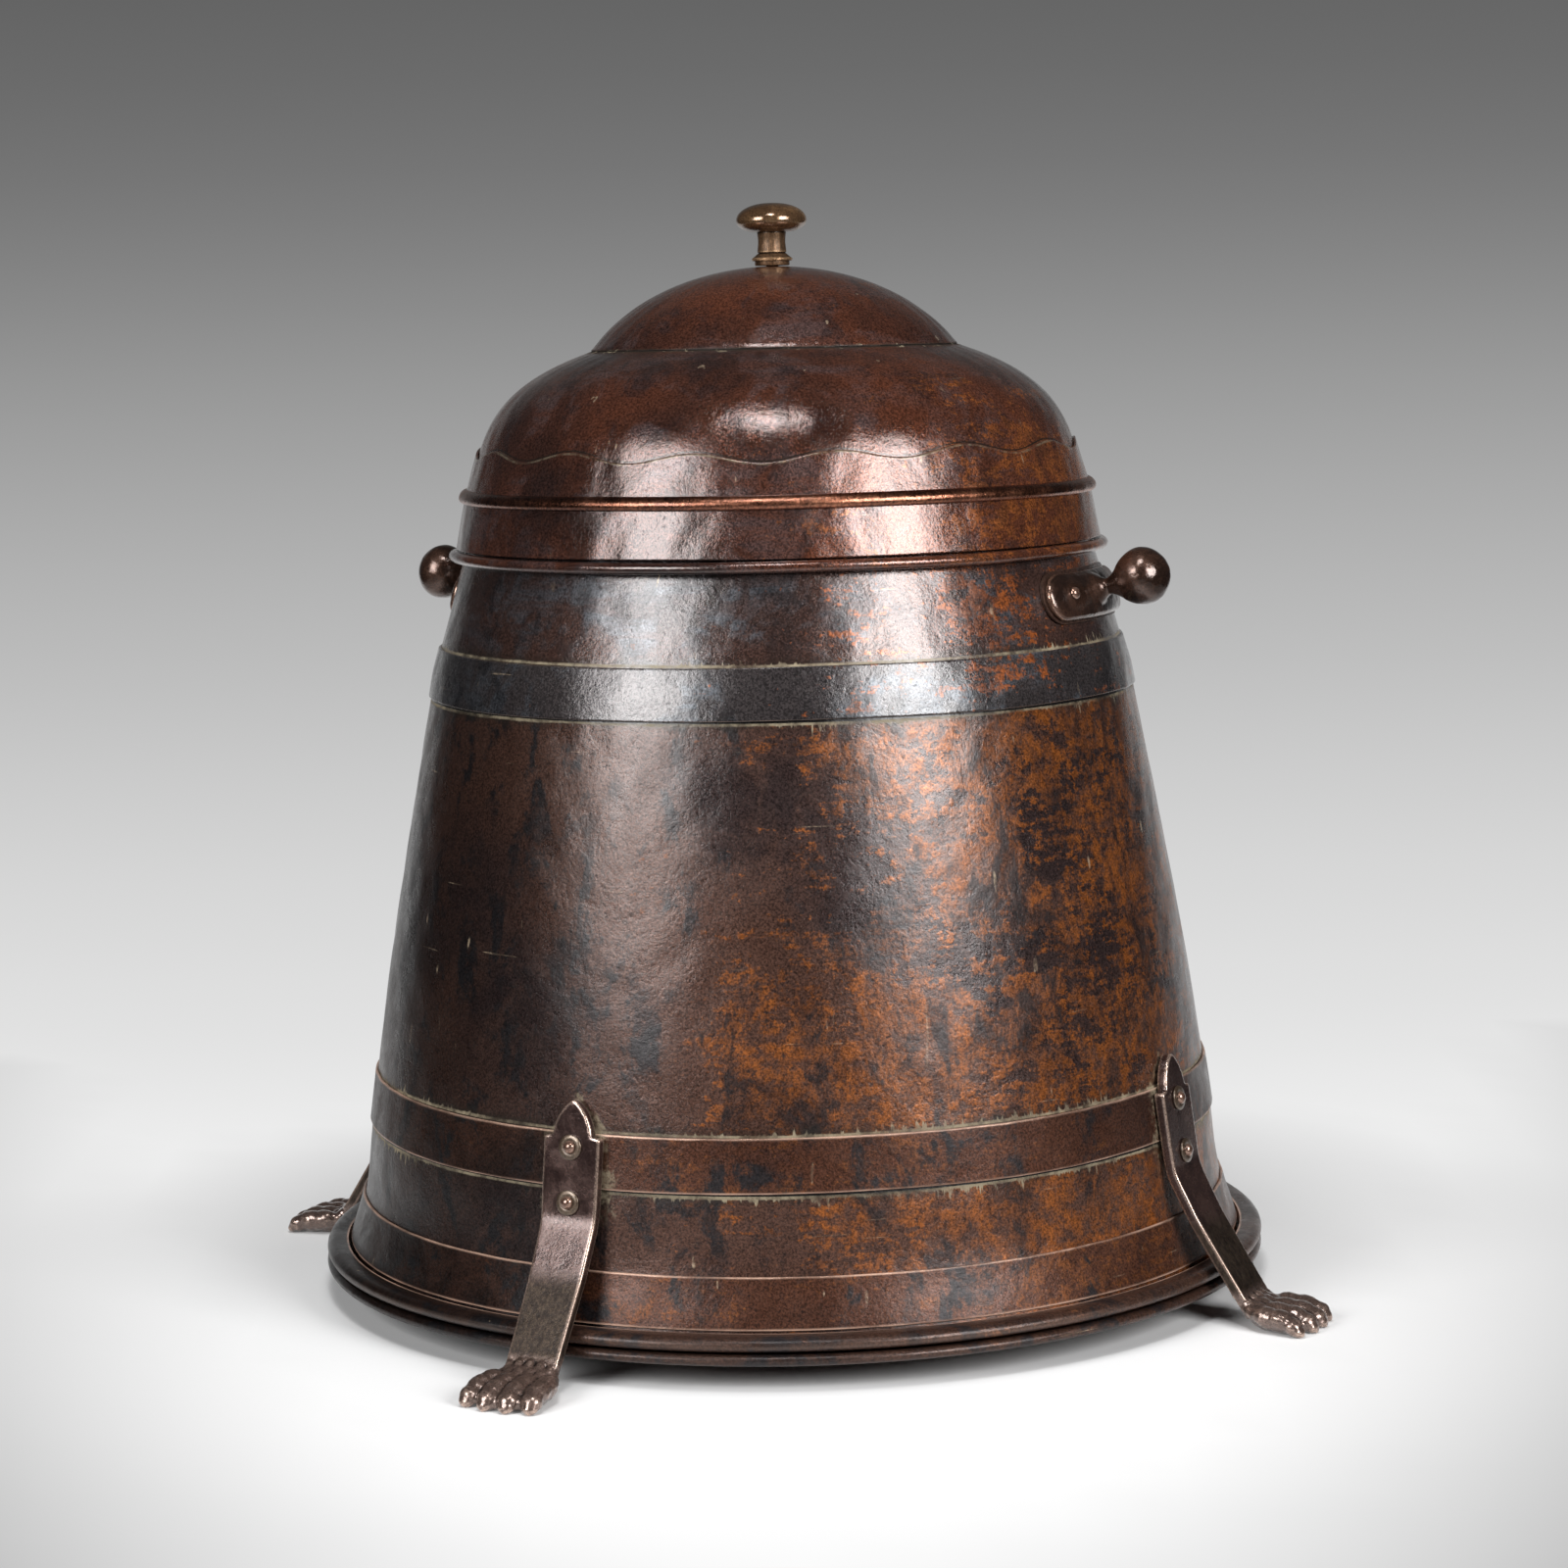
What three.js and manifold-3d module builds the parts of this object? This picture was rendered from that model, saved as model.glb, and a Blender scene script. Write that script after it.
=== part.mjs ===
// Copper coal bin with a lift-off domed lid on four strap feet with lion paws.
// Millimetres, +Z up. The origin is on the floor under the middle of the bin.
// The front foot points along -Y and the handles along about +X and -X.

import * as THREE from 'three';
import { mergeVertices } from 'three/addons/utils/BufferGeometryUtils.js';
import Module from 'manifold-3d';

const wasm = await Module();
wasm.setup();

// Clearances and sheet
const SEAT_GAP = 0.3;
const SHEET = 1.5;
const BAND_SHEET = 1.2;
const WELD_DISTANCE = 1e-4;
const CUT_OVERRUN = 24;

// Base: pan, rolled bead and flange
const FLOOR_CLEARANCE = 11.5;
const BASE_BEAD_RADIUS = 2.9;
const RIM_PARTING = 0.6;
const FLANGE_HEIGHT = 6.5;
const FLANGE_DEPTH = 10.4;

// Drum: tapered wall from the pan to the upper band
const DRUM_HEIGHT = 279.3;
const DRUM_FOOT_RADIUS = 215;
const DRUM_TOP_RADIUS = 164.9;

// Bands on the wall
const FOOT_BAND_HEIGHT = 22.4;
const HOOP_RISE = 66.5;
const HOOP_HEIGHT = 24;
const UPPER_BAND_HEIGHT = 23;

// Neck under the lid, with its wired rim
const NECK_TAPER = 24.3;
const RIM_WIRE_RADIUS = 2.2;

// Lid
const LID_PLAY = 0.6;
const SKIRT_DROP = 29;
const SKIRT_LOW_LEAN = 0.2;
const SKIRT_HIGH_LEAN = 0.3;
const LID_BEAD_RADIUS = 3.1;
const LID_BEAD_PROUD = 3.5;
const UPPER_BEAD_DROP = 1;
const UPPER_BEAD_HEIGHT = 6.4;
const UPPER_BEAD_DEPTH = 2;
const SKIRT_RISE = 20.5;
const WAVE_COUNT = 14;
const WAVE_HEIGHT = 4.5;
const SHOULDER_COVER = 1.2;
const SHOULDER_HEIGHT = 49.4;
const CREASE_RADIUS = 86.5;
const CROWN_RISE = 37.8;

// Knob, its stud, washer and nut
const KNOB_HEAD_RADIUS = 16.7;
const KNOB_HEAD_TOP_HEIGHT = 8.3;
const KNOB_HEAD_UNDER_HEIGHT = 5.4;
const KNOB_NECK_RADIUS = 6.7;
const KNOB_NECK_HEIGHT = 10;
const KNOB_COLLAR_RADIUS = 9.6;
const KNOB_COLLAR_HEIGHT = 3.4;
const KNOB_FOOT_RADIUS = 8.2;
const KNOB_FOOT_HEIGHT = 2.2;
const STUD_RADIUS = 3;
const STUD_END = 1.6;
const NUT_FLATS_RADIUS = 5.5;
const NUT_HEIGHT = 5;
const NUT_WASHER_RADIUS = 9;
const NUT_WASHER_HEIGHT = 1.2;

// Feet: places round the bin in degrees from the front, set by hand and so a little uneven
const FOOT_PLACES = { front: 0, right: 87, rear: 180, left: 275 };
const STRAP_THICKNESS = 5;
const STRAP_WIDTH = 28;
const LEAF_HEIGHT = 16.5;
const LEAF_RISE = 14;
const STRAP_BEND_DROP = 15;
const STRAP_RIM_GAP = 2.5;
const PAW_SETOUT = 16;
const PAW_LENGTH = 36;
const PAW_WIDTH = 43;
const PAW_HEIGHT = 13;
const TOE_COUNT = 4;
const TOE_SETBACK = 3.5;

// Rivets and their washers
const SHANK_RADIUS = 1.9;
const HEAD_RADIUS = 2.9;
const HEAD_HEIGHT = 2.2;
const TAIL_RADIUS = 3.2;
const TAIL_HEIGHT = 1.5;
const RIVET_WASHER_RADIUS = 5.6;
const RIVET_WASHER_HEIGHT = 0.8;
const RIVET_DROP = 5.5;

// Handles
const HANDLE_PLACES = { right: 94, left: 274 };
const HANDLE_RISE = 34;
const HANDLE_DROP = 20.45;
const PAD_LENGTH = 88;
const PAD_WIDTH = 21;
const PAD_THICKNESS = 4.4;
const PAD_EDGE = 1.6;
const PLATE_BORDER = 1.4;
const HANDLE_RIVET_SPREAD = 54;
const BALL_RADIUS = 13.3;
const HORN_REACH = 41;

// Facets
const RING_FACETS = 36;
const BEAD_FACETS = 6;
const SMALL_FACETS = 8;
const KNOB_FACETS = 16;
const HORN_FACETS = 10;
const WAVE_FACETS = 6;
const PAD_STEPS = 10;
const PAD_END_SHARE = 0.5;
const LUMP_FACETS = 7;
const LUMP_BANDS = 4;
const DOME_STEPS = 5;

const HALF_TURN = Math.PI;
const FULL_TURN = 2 * Math.PI;
const QUARTER_TURN = Math.PI / 2;

const COPPER = { color: 0x5a3220, roughness: 0.35, metalness: 1 };
const DARK_COPPER = { color: 0x3c2c28, roughness: 0.4, metalness: 1 };
const BRIGHT_COPPER = { color: 0x8a4a2c, roughness: 0.3, metalness: 1 };
const BRONZE = { color: 0x4a3a30, roughness: 0.35, metalness: 1 };
const BRASS = { color: 0x7a5f3a, roughness: 0.3, metalness: 1 };

const bin = new THREE.Group();
const lid = new THREE.Group();
bin.add(lid);

// Adds a named piece to a group, turned about Z
function addPiece(group, name, geometry, finish, turn = 0) {
  const mesh = new THREE.Mesh(geometry, new THREE.MeshStandardMaterial(finish));
  mesh.name = name;
  mesh.rotation.z = turn;
  group.add(mesh);
  return mesh;
}

// The turn about Z that takes +X to a place counted in degrees from the front, -Y
function placeTurn(place) {
  return THREE.MathUtils.degToRad(place) - QUARTER_TURN;
}

// Level of a value between two others, and the value at a share of the way
const between = (low, high, share) => low + (high - low) * share;

// A closed section in radius and height, turned about the Z axis
function revolve(section, facets) {
  const points = section.map(([radius, height]) => new THREE.Vector2(radius, height));
  return new THREE.LatheGeometry(points, facets).rotateX(QUARTER_TURN);
}

// Closes an outline on itself
const closed = (outline) => [...outline, outline[0]];

// A closed round section with a flat-sided polygon's points on its circle
function roundSection(radius, height, wire) {
  const points = [];
  for (let step = 0; step < BEAD_FACETS; step += 1) {
    const angle = (FULL_TURN * step) / BEAD_FACETS;
    points.push([radius + wire * Math.cos(angle), height + wire * Math.sin(angle)]);
  }
  return closed(points);
}

// A wall of even sheet inside an outline that runs up
function wallSection(outline, thickness) {
  const inner = outline.map(([radius, height]) => [radius - thickness, height]);
  return closed([...outline, ...inner.reverse()]);
}

// A dome of even sheet under an outline that runs up and inwards; its lowest edge is level
function domeSection(outline, thickness) {
  const inner = outline.map(([radius, height], index) => {
    if (index === 0) return [radius - thickness, height];
    const before = outline[index - 1];
    const after = outline[Math.min(index + 1, outline.length - 1)];
    const along = new THREE.Vector2(after[0] - before[0], after[1] - before[1]).normalize();
    return [radius - along.y * thickness, height + along.x * thickness];
  });
  return closed([...outline, ...inner.reverse()]);
}

// Makes a geometry of points and triangles, with its faces out
function facetGeometry(points, triangles) {
  let volume = 0;
  const corner = new THREE.Vector3();
  for (const [a, b, c] of triangles) {
    volume += corner.crossVectors(points[a], points[b]).dot(points[c]);
  }
  const faces = volume < 0 ? triangles.map(([a, b, c]) => [a, c, b]) : triangles;
  const geometry = new THREE.BufferGeometry().setFromPoints(points);
  geometry.setIndex(faces.flat());
  return geometry;
}

// Joins rings of equal count one after the other; closed ends, or a full round
function skin(rings, isRound) {
  const count = rings[0].length;
  const points = rings.flat();
  const triangles = [];
  const lastRing = isRound ? rings.length : rings.length - 1;
  for (let ring = 0; ring < lastRing; ring += 1) {
    const here = ring * count;
    const next = ((ring + 1) % rings.length) * count;
    for (let side = 0; side < count; side += 1) {
      const beside = (side + 1) % count;
      triangles.push([here + side, next + side, next + beside]);
      triangles.push([here + side, next + beside, here + beside]);
    }
  }
  if (!isRound) {
    const end = (rings.length - 1) * count;
    for (let side = 1; side < count - 1; side += 1) {
      triangles.push([0, side, side + 1]);
      triangles.push([end, end + side + 1, end + side]);
    }
  }
  return facetGeometry(points, triangles);
}

// A geometry as a solid that can be joined and cut
function toSolid(geometry) {
  const bare = new THREE.BufferGeometry();
  bare.setAttribute('position', geometry.attributes.position);
  if (geometry.index) bare.setIndex(geometry.index);
  const welded = mergeVertices(bare, WELD_DISTANCE);
  const index = welded.index.array;
  const triangles = [];
  for (let at = 0; at < index.length; at += 3) {
    const [a, b, c] = [index[at], index[at + 1], index[at + 2]];
    if (a !== b && b !== c && c !== a) triangles.push(a, b, c);
  }
  return new wasm.Manifold(new wasm.Mesh({
    numProp: 3,
    vertProperties: new Float32Array(welded.attributes.position.array),
    triVerts: new Uint32Array(triangles),
  }));
}

// A solid as a geometry again
function toGeometry(solid) {
  const mesh = solid.getMesh();
  const geometry = new THREE.BufferGeometry();
  const places = new THREE.BufferAttribute(new Float32Array(mesh.vertProperties), 3);
  geometry.setAttribute('position', places);
  geometry.setIndex(new THREE.BufferAttribute(new Uint32Array(mesh.triVerts), 1));
  return geometry;
}

// Cuts a list of geometries out of one
function cut(geometry, tools) {
  return toGeometry(tools.reduce((solid, tool) => solid.subtract(toSolid(tool)), toSolid(geometry)));
}

// Joins a list of geometries into one solid
function join(geometries) {
  const [first, ...others] = geometries.map(toSolid);
  return toGeometry(others.reduce((solid, other) => solid.add(other), first));
}

// Levels that the pieces share
const baseBeadLevel = FLOOR_CLEARANCE + BASE_BEAD_RADIUS;
const panTop = baseBeadLevel + SHEET / 2;
const flangeBottom = baseBeadLevel + BASE_BEAD_RADIUS + RIM_PARTING;
const flangeTop = flangeBottom + FLANGE_HEIGHT;
const drumBottom = panTop + SEAT_GAP;
const drumTop = drumBottom + DRUM_HEIGHT;
const neckBottom = drumTop + SEAT_GAP;
const neckHeight = HANDLE_RISE + HANDLE_DROP + SKIRT_DROP;
const neckTop = neckBottom + neckHeight;
const hoopBottom = drumBottom + HOOP_RISE;
const hoopTop = hoopBottom + HOOP_HEIGHT;

// Radii that the pieces share
const baseRimRadius = DRUM_FOOT_RADIUS + SEAT_GAP + FLANGE_DEPTH;
const neckTopRadius = DRUM_TOP_RADIUS - NECK_TAPER;

// The drum's outline: shares of its height and of the way from foot to top radius
const drumHeightShares = [0, 0.03, 0.11, 0.22, 0.5, 0.8, 1];
const drumTaperShares = [0, 0.04, 0.175, 0.255, 0.483, 0.786, 1];
const drumOutline = drumHeightShares.map((share, index) => [
  between(DRUM_FOOT_RADIUS, DRUM_TOP_RADIUS, drumTaperShares[index]),
  drumBottom + DRUM_HEIGHT * share,
]);
const wallOutline = [...drumOutline, [neckTopRadius, neckTop]];

// Outer radius of the wall at a level, drum or neck
function wallRadius(level) {
  const upper = wallOutline.findIndex(([, height]) => height >= level);
  if (upper <= 0) return upper < 0 ? neckTopRadius : DRUM_FOOT_RADIUS;
  const [lowRadius, lowLevel] = wallOutline[upper - 1];
  const [highRadius, highLevel] = wallOutline[upper];
  return between(lowRadius, highRadius, (level - lowLevel) / (highLevel - lowLevel));
}

// The wall's outline between two levels, moved out by an offset
function wallStretch(bottom, top, offset) {
  const inside = wallOutline.map(([, level]) => level).filter((level) => level > bottom && level < top);
  return [bottom, ...inside, top].map((level) => [wallRadius(level) + offset, level]);
}

// How far a flat side of the faceted wall lies inside its round
const facetSag = (radius) => radius * (1 - Math.cos(HALF_TURN / RING_FACETS));

// Rivet along +Z: its head's seat is at zero and its tail bears at the reach below
const headRoundShares = { radius: 0.74, height: 0.68 };
function rivet(reach) {
  return revolve([
    [0, -reach - TAIL_HEIGHT],
    [TAIL_RADIUS, -reach],
    [SHANK_RADIUS, -reach],
    [SHANK_RADIUS, 0],
    [HEAD_RADIUS, 0],
    [HEAD_RADIUS * headRoundShares.radius, HEAD_HEIGHT * headRoundShares.height],
    [0, HEAD_HEIGHT],
  ], SMALL_FACETS);
}

// Ring from a hole radius to an outer radius, upwards from zero
function washer(holeRadius, outerRadius, height) {
  return revolve(closed([
    [holeRadius, 0],
    [outerRadius, 0],
    [outerRadius, height],
    [holeRadius, height],
  ]), SMALL_FACETS);
}

// Turns a geometry made along +Z to point outwards along +X, tipped up by a lean, and seats it
function seatOnWall(geometry, radius, level, lean, place = 0) {
  return geometry.rotateY(QUARTER_TURN - lean).translate(radius, 0, level).rotateZ(place);
}

// Round cutter for a shank, through everything on both sides of its seat
function shankCutter() {
  const radius = SHANK_RADIUS + SEAT_GAP;
  return new THREE.CylinderGeometry(radius, radius, CUT_OVERRUN, SMALL_FACETS).rotateX(QUARTER_TURN);
}

// Feet: the strap's back runs on the hoop, leans out towards the base rim and then more to the paw
const strapTop = hoopTop + LEAF_RISE;
const bendLevel = hoopBottom - STRAP_BEND_DROP;
const hoopFace = SEAT_GAP + BAND_SHEET + SEAT_GAP;
const strapSlope = (wallRadius(hoopBottom) - wallRadius(hoopTop)) / HOOP_HEIGHT;
const strapLean = Math.atan(strapSlope);
const strapBackRadius = (level) => wallRadius(hoopTop) + hoopFace + strapSlope * (hoopTop - level);
const pawHeel = baseRimRadius + PAW_SETOUT;
const pawReach = pawHeel + PAW_LENGTH;
const bendRadius = strapBackRadius(bendLevel);
// The knee's place on the way from the bend to the base rim, and the ankle's height on the paw
const kneeShare = 0.53;
const ankleShare = 0.3;
const strapRoute = [
  [strapBackRadius(strapTop), strapTop],
  [bendRadius, bendLevel],
  [
    bendRadius + (baseRimRadius + STRAP_RIM_GAP - bendRadius) * kneeShare,
    bendLevel + (flangeTop - bendLevel) * kneeShare,
  ],
  [pawHeel + STRAP_RIM_GAP, PAW_HEIGHT * ankleShare],
];

// Direction of the strap's face at a point of its route: outwards, square to the strap
function strapFace(index) {
  const [lowRadius, lowLevel] = strapRoute[Math.min(index + 1, strapRoute.length - 1)];
  const [highRadius, highLevel] = strapRoute[Math.max(index - 1, 0)];
  return new THREE.Vector2(highLevel - lowLevel, lowRadius - highRadius).normalize();
}

// One cross-section of the strap: back and front edges at a point, square to a face direction
function strapRing(radius, level, face, halfWidth) {
  const frontRadius = radius + face.x * STRAP_THICKNESS;
  const frontLevel = level + face.y * STRAP_THICKNESS;
  return [
    new THREE.Vector3(radius, -halfWidth, level),
    new THREE.Vector3(radius, halfWidth, level),
    new THREE.Vector3(frontRadius, halfWidth, frontLevel),
    new THREE.Vector3(frontRadius, -halfWidth, frontLevel),
  ];
}

// The leaf at the top: shares of its height downwards and of half the strap's width
const leafDropShares = [0, 0.14, 0.4, 0.72, 0.94, 1];
const leafWidthShares = [0.05, 0.26, 0.5, 0.66, 0.7, 1];
// The strap's width at the bend, the knee and the paw, as shares
const strapWidthShares = [0.93, 0.9, 1];

function strap() {
  const half = STRAP_WIDTH / 2;
  const topFace = new THREE.Vector2(Math.cos(strapLean), Math.sin(strapLean));
  const rings = leafDropShares.map((share, index) => {
    const level = strapTop - LEAF_HEIGHT * share;
    return strapRing(strapBackRadius(level), level, topFace, half * leafWidthShares[index]);
  });
  strapRoute.slice(1).forEach(([radius, level], index) => {
    rings.push(strapRing(radius, level, strapFace(index + 1), half * strapWidthShares[index]));
  });
  return skin(rings, false);
}

// The paw's body: shares of its length from the heel, of its width and of its height
const pawLengthShares = [0, 0.2, 0.42, 0.6, 0.72];
const pawWidthShares = [0.62, 0.74, 0.86, 0.94, 0.9];
const pawHeightShares = [0.5, 0.9, 0.95, 0.82, 0.6];
const pawShoulderShares = { side: 0.55, top: 0.6 };

function pawBody() {
  const rings = pawLengthShares.map((share, index) => {
    const radius = pawHeel + PAW_LENGTH * share;
    const half = (PAW_WIDTH / 2) * pawWidthShares[index];
    const height = PAW_HEIGHT * pawHeightShares[index];
    const side = height * pawShoulderShares.side;
    const top = half * pawShoulderShares.top;
    return [
      new THREE.Vector3(radius, -half, 0),
      new THREE.Vector3(radius, half, 0),
      new THREE.Vector3(radius, half, side),
      new THREE.Vector3(radius, top, height),
      new THREE.Vector3(radius, -top, height),
      new THREE.Vector3(radius, -half, side),
    ];
  });
  return skin(rings, false);
}

// An egg-shaped lump by its middle and its half sizes
function lump(middle, halfSizes) {
  return new THREE.SphereGeometry(1, LUMP_FACETS, LUMP_BANDS).rotateX(QUARTER_TURN)
    .scale(...halfSizes).translate(...middle);
}

// One toe: a knuckle and a tip, as shares of its width, the paw's length and the paw's height
const knuckleShares = { back: 0.34, level: 0.52, long: 0.2, wide: 0.56, high: 0.46 };
const tipShares = { back: 0.13, level: 0.3, long: 0.13, wide: 0.48, high: 0.36 };

function toe(reach, aside) {
  const width = PAW_WIDTH / TOE_COUNT;
  return [knuckleShares, tipShares].map((shares) => lump(
    [reach - PAW_LENGTH * shares.back, aside, PAW_HEIGHT * shares.level],
    [PAW_LENGTH * shares.long, width * shares.wide, PAW_HEIGHT * shares.high],
  ));
}

function foot(holes) {
  const toes = [];
  const toeWidth = PAW_WIDTH / TOE_COUNT;
  const middle = (TOE_COUNT - 1) / 2;
  for (let index = 0; index < TOE_COUNT; index += 1) {
    const offset = index - middle;
    const setback = TOE_SETBACK * Math.abs(offset) / middle;
    toes.push(...toe(pawReach - setback, offset * toeWidth));
  }
  const whole = join([strap(), pawBody(), ...toes]);
  const underFloor = new THREE.BoxGeometry(pawReach, pawReach, CUT_OVERRUN)
    .translate(pawReach, 0, -CUT_OVERRUN / 2);
  return cut(whole, [underFloor, ...holes]);
}

const footRivetLevels = { upper: hoopTop - RIVET_DROP, lower: hoopBottom - RIVET_DROP };

// Radius of the strap's front face at a level on its straight upper stretch
const strapFrontRadius = (level) => strapBackRadius(level) + STRAP_THICKNESS / Math.cos(strapLean);

// Puts a rivet, its washer or its hole on the strap's front face at a level
function seatOnStrap(geometry, level, place = 0) {
  return seatOnWall(geometry, strapFrontRadius(level), level, strapLean, place);
}

// How far the tail of a foot rivet bears behind the seat of its head
function footRivetReach(level) {
  const inner = wallRadius(level) - SHEET - facetSag(DRUM_FOOT_RADIUS) - SEAT_GAP;
  const washerStack = SEAT_GAP + RIVET_WASHER_HEIGHT + SEAT_GAP;
  return (strapFrontRadius(level) - inner) * Math.cos(strapLean) + washerStack;
}

function addFoot(name, place) {
  const turn = placeTurn(place);
  const holes = Object.values(footRivetLevels).map((level) => seatOnStrap(shankCutter(), level));
  addPiece(bin, `foot_${name}`, foot(holes), BRONZE, turn);
  for (const [side, level] of Object.entries(footRivetLevels)) {
    const washerSeat = SEAT_GAP;
    const headSeat = washerSeat + RIVET_WASHER_HEIGHT + SEAT_GAP;
    const ring = washer(SHANK_RADIUS + SEAT_GAP, RIVET_WASHER_RADIUS, RIVET_WASHER_HEIGHT)
      .translate(0, 0, washerSeat);
    const pin = rivet(footRivetReach(level)).translate(0, 0, headSeat);
    addPiece(bin, `foot_${name}_washer_${side}`, seatOnStrap(ring, level), BRIGHT_COPPER, turn);
    addPiece(bin, `foot_${name}_rivet_${side}`, seatOnStrap(pin, level), COPPER, turn);
  }
}

// Handles: everything follows the neck's round and its lean
const handleLevel = neckBottom + HANDLE_RISE;
const neckLean = Math.atan(NECK_TAPER / neckHeight);
const plateFace = SEAT_GAP;
const padFace = plateFace + BAND_SHEET + SEAT_GAP;

// A point over the neck at a turn and a level, moved out by an offset
function overNeck(angle, level, offset) {
  const radius = wallRadius(level) + offset / Math.cos(neckLean);
  return new THREE.Vector3(radius * Math.cos(angle), radius * Math.sin(angle), level);
}

// A curved tablet on the neck with round ends; the crown shares shape its outer face
function tablet(length, width, offset, edge, crown, crownShares) {
  const half = width / 2;
  const straight = (length - width) / 2;
  const rings = [];
  for (let step = 0; step <= PAD_STEPS; step += 1) {
    const along = -Math.cos((HALF_TURN * (step + PAD_END_SHARE)) / (PAD_STEPS + 2 * PAD_END_SHARE));
    const reach = (along * length) / 2;
    const past = Math.max(Math.abs(reach) - straight, 0);
    const halfHere = Math.sqrt(half * half - past * past);
    const crownHere = crown * (halfHere / half);
    const angle = reach / (wallRadius(handleLevel) + offset);
    const ring = [halfHere, -halfHere].map((aside) => overNeck(angle, handleLevel + aside, offset));
    for (const share of crownShares) {
      const rise = edge + crownHere * Math.sqrt(1 - share * share);
      ring.push(overNeck(angle, handleLevel + halfHere * share, offset + rise));
    }
    rings.push(ring);
  }
  return skin(rings, false);
}

// The horn and ball: shares of the reach, of the size along the pad and of the upright size
const hornReachShares = [0.05, 0.11, 0.17, 0.22, 0.265];
const hornAlongShares = [1.36, 1, 0.58, 0.37, 0.29];
const hornUprightShares = [0.66, 0.62, 0.47, 0.35, 0.29];
const ballReachShares = [0.32, 0.39, 0.46, 0.55, 0.64, 0.72, 0.81, 0.89, 0.96, 1];
const ballRadiusShares = [0.35, 0.51, 0.72, 0.9, 0.99, 1, 0.92, 0.72, 0.42, 0.06];
const padCrownShares = [-1, -0.7, 0, 0.7, 1];
const flatCrownShares = [-1, 1];

function hornRing(reach, along, upright) {
  const ring = [];
  for (let step = 0; step < HORN_FACETS; step += 1) {
    const angle = (FULL_TURN * step) / HORN_FACETS;
    ring.push(new THREE.Vector3(upright * Math.cos(angle), along * Math.sin(angle), reach));
  }
  return ring;
}

function horn() {
  const rings = hornReachShares.map((share, index) => hornRing(
    HORN_REACH * share,
    BALL_RADIUS * hornAlongShares[index],
    BALL_RADIUS * hornUprightShares[index],
  ));
  ballReachShares.forEach((share, index) => {
    const radius = BALL_RADIUS * ballRadiusShares[index];
    rings.push(hornRing(HORN_REACH * share, radius, radius));
  });
  return seatOnWall(skin(rings, false), wallRadius(handleLevel), handleLevel, neckLean);
}

// The angle round the bin from a handle's middle to its rivets
const handleRivetAngle = HANDLE_RIVET_SPREAD / 2 / wallRadius(handleLevel);
const handleRivetSides = { near: -handleRivetAngle, far: handleRivetAngle };

function handleHoles(place) {
  return Object.values(handleRivetSides).map((angle) => seatOnWall(
    shankCutter(), wallRadius(handleLevel), handleLevel, neckLean, place + angle,
  ));
}

function handle() {
  const pad = tablet(PAD_LENGTH, PAD_WIDTH, padFace, PAD_EDGE, PAD_THICKNESS - PAD_EDGE, padCrownShares);
  return cut(join([pad, horn()]), handleHoles(0));
}

function handlePlate() {
  const length = PAD_LENGTH + 2 * PLATE_BORDER;
  const width = PAD_WIDTH + 2 * PLATE_BORDER;
  return cut(tablet(length, width, plateFace, BAND_SHEET, 0, flatCrownShares), handleHoles(0));
}

function addHandle(name, place) {
  const turn = placeTurn(place);
  addPiece(bin, `handle_${name}`, handle(), BRONZE, turn);
  addPiece(bin, `handle_${name}_plate`, handlePlate(), DARK_COPPER, turn);
  const seat = padFace + PAD_THICKNESS + SEAT_GAP;
  const inner = SHEET + facetSag(DRUM_TOP_RADIUS) + SEAT_GAP;
  for (const [side, angle] of Object.entries(handleRivetSides)) {
    const pin = rivet(seat + inner).translate(0, 0, seat);
    seatOnWall(pin, wallRadius(handleLevel), handleLevel, neckLean);
    addPiece(bin, `handle_${name}_rivet_${side}`, pin, COPPER, turn + angle);
  }
}

// Wall of the bin
function drumShell() {
  const holes = Object.values(FOOT_PLACES).flatMap((place) => Object.values(footRivetLevels).map(
    (level) => seatOnStrap(shankCutter(), level, placeTurn(place)),
  ));
  return cut(revolve(wallSection(drumOutline, SHEET), RING_FACETS), holes);
}

function neckShell() {
  const outline = wallStretch(neckBottom, neckTop, 0);
  const holes = Object.values(HANDLE_PLACES).flatMap((place) => handleHoles(placeTurn(place)));
  return cut(revolve(wallSection(outline, SHEET), RING_FACETS), holes);
}

// A band of thin sheet on the wall between two levels
function band(bottom, top) {
  return revolve(wallSection(wallStretch(bottom, top, SEAT_GAP + BAND_SHEET), BAND_SHEET), RING_FACETS);
}

function hoopBand() {
  const holes = Object.values(FOOT_PLACES).map(
    (place) => seatOnStrap(shankCutter(), footRivetLevels.upper, placeTurn(place)),
  );
  return cut(band(hoopBottom, hoopTop), holes);
}

// The wired flange round the drum's foot: shares of its depth and of its height
const flangeDepthShares = [0, 0.7, 0.94, 1, 0.96, 0.77, 0.4, 0];
const flangeLevelShares = [0, 0, 0.17, 0.45, 0.68, 0.92, 1, 0.96];

function baseFlange() {
  const inner = DRUM_FOOT_RADIUS + SEAT_GAP;
  const section = flangeDepthShares.map((share, index) => [
    inner + FLANGE_DEPTH * share,
    flangeBottom + FLANGE_HEIGHT * flangeLevelShares[index],
  ]);
  return revolve(closed(section), RING_FACETS);
}

function bottomPan() {
  const radius = baseRimRadius - 2 * BASE_BEAD_RADIUS - SEAT_GAP;
  return revolve([
    [0, panTop - SHEET],
    [radius, panTop - SHEET],
    [radius, panTop],
    [0, panTop],
  ], RING_FACETS);
}

const baseBead = revolve(
  roundSection(baseRimRadius - BASE_BEAD_RADIUS, baseBeadLevel, BASE_BEAD_RADIUS),
  RING_FACETS,
);

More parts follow.
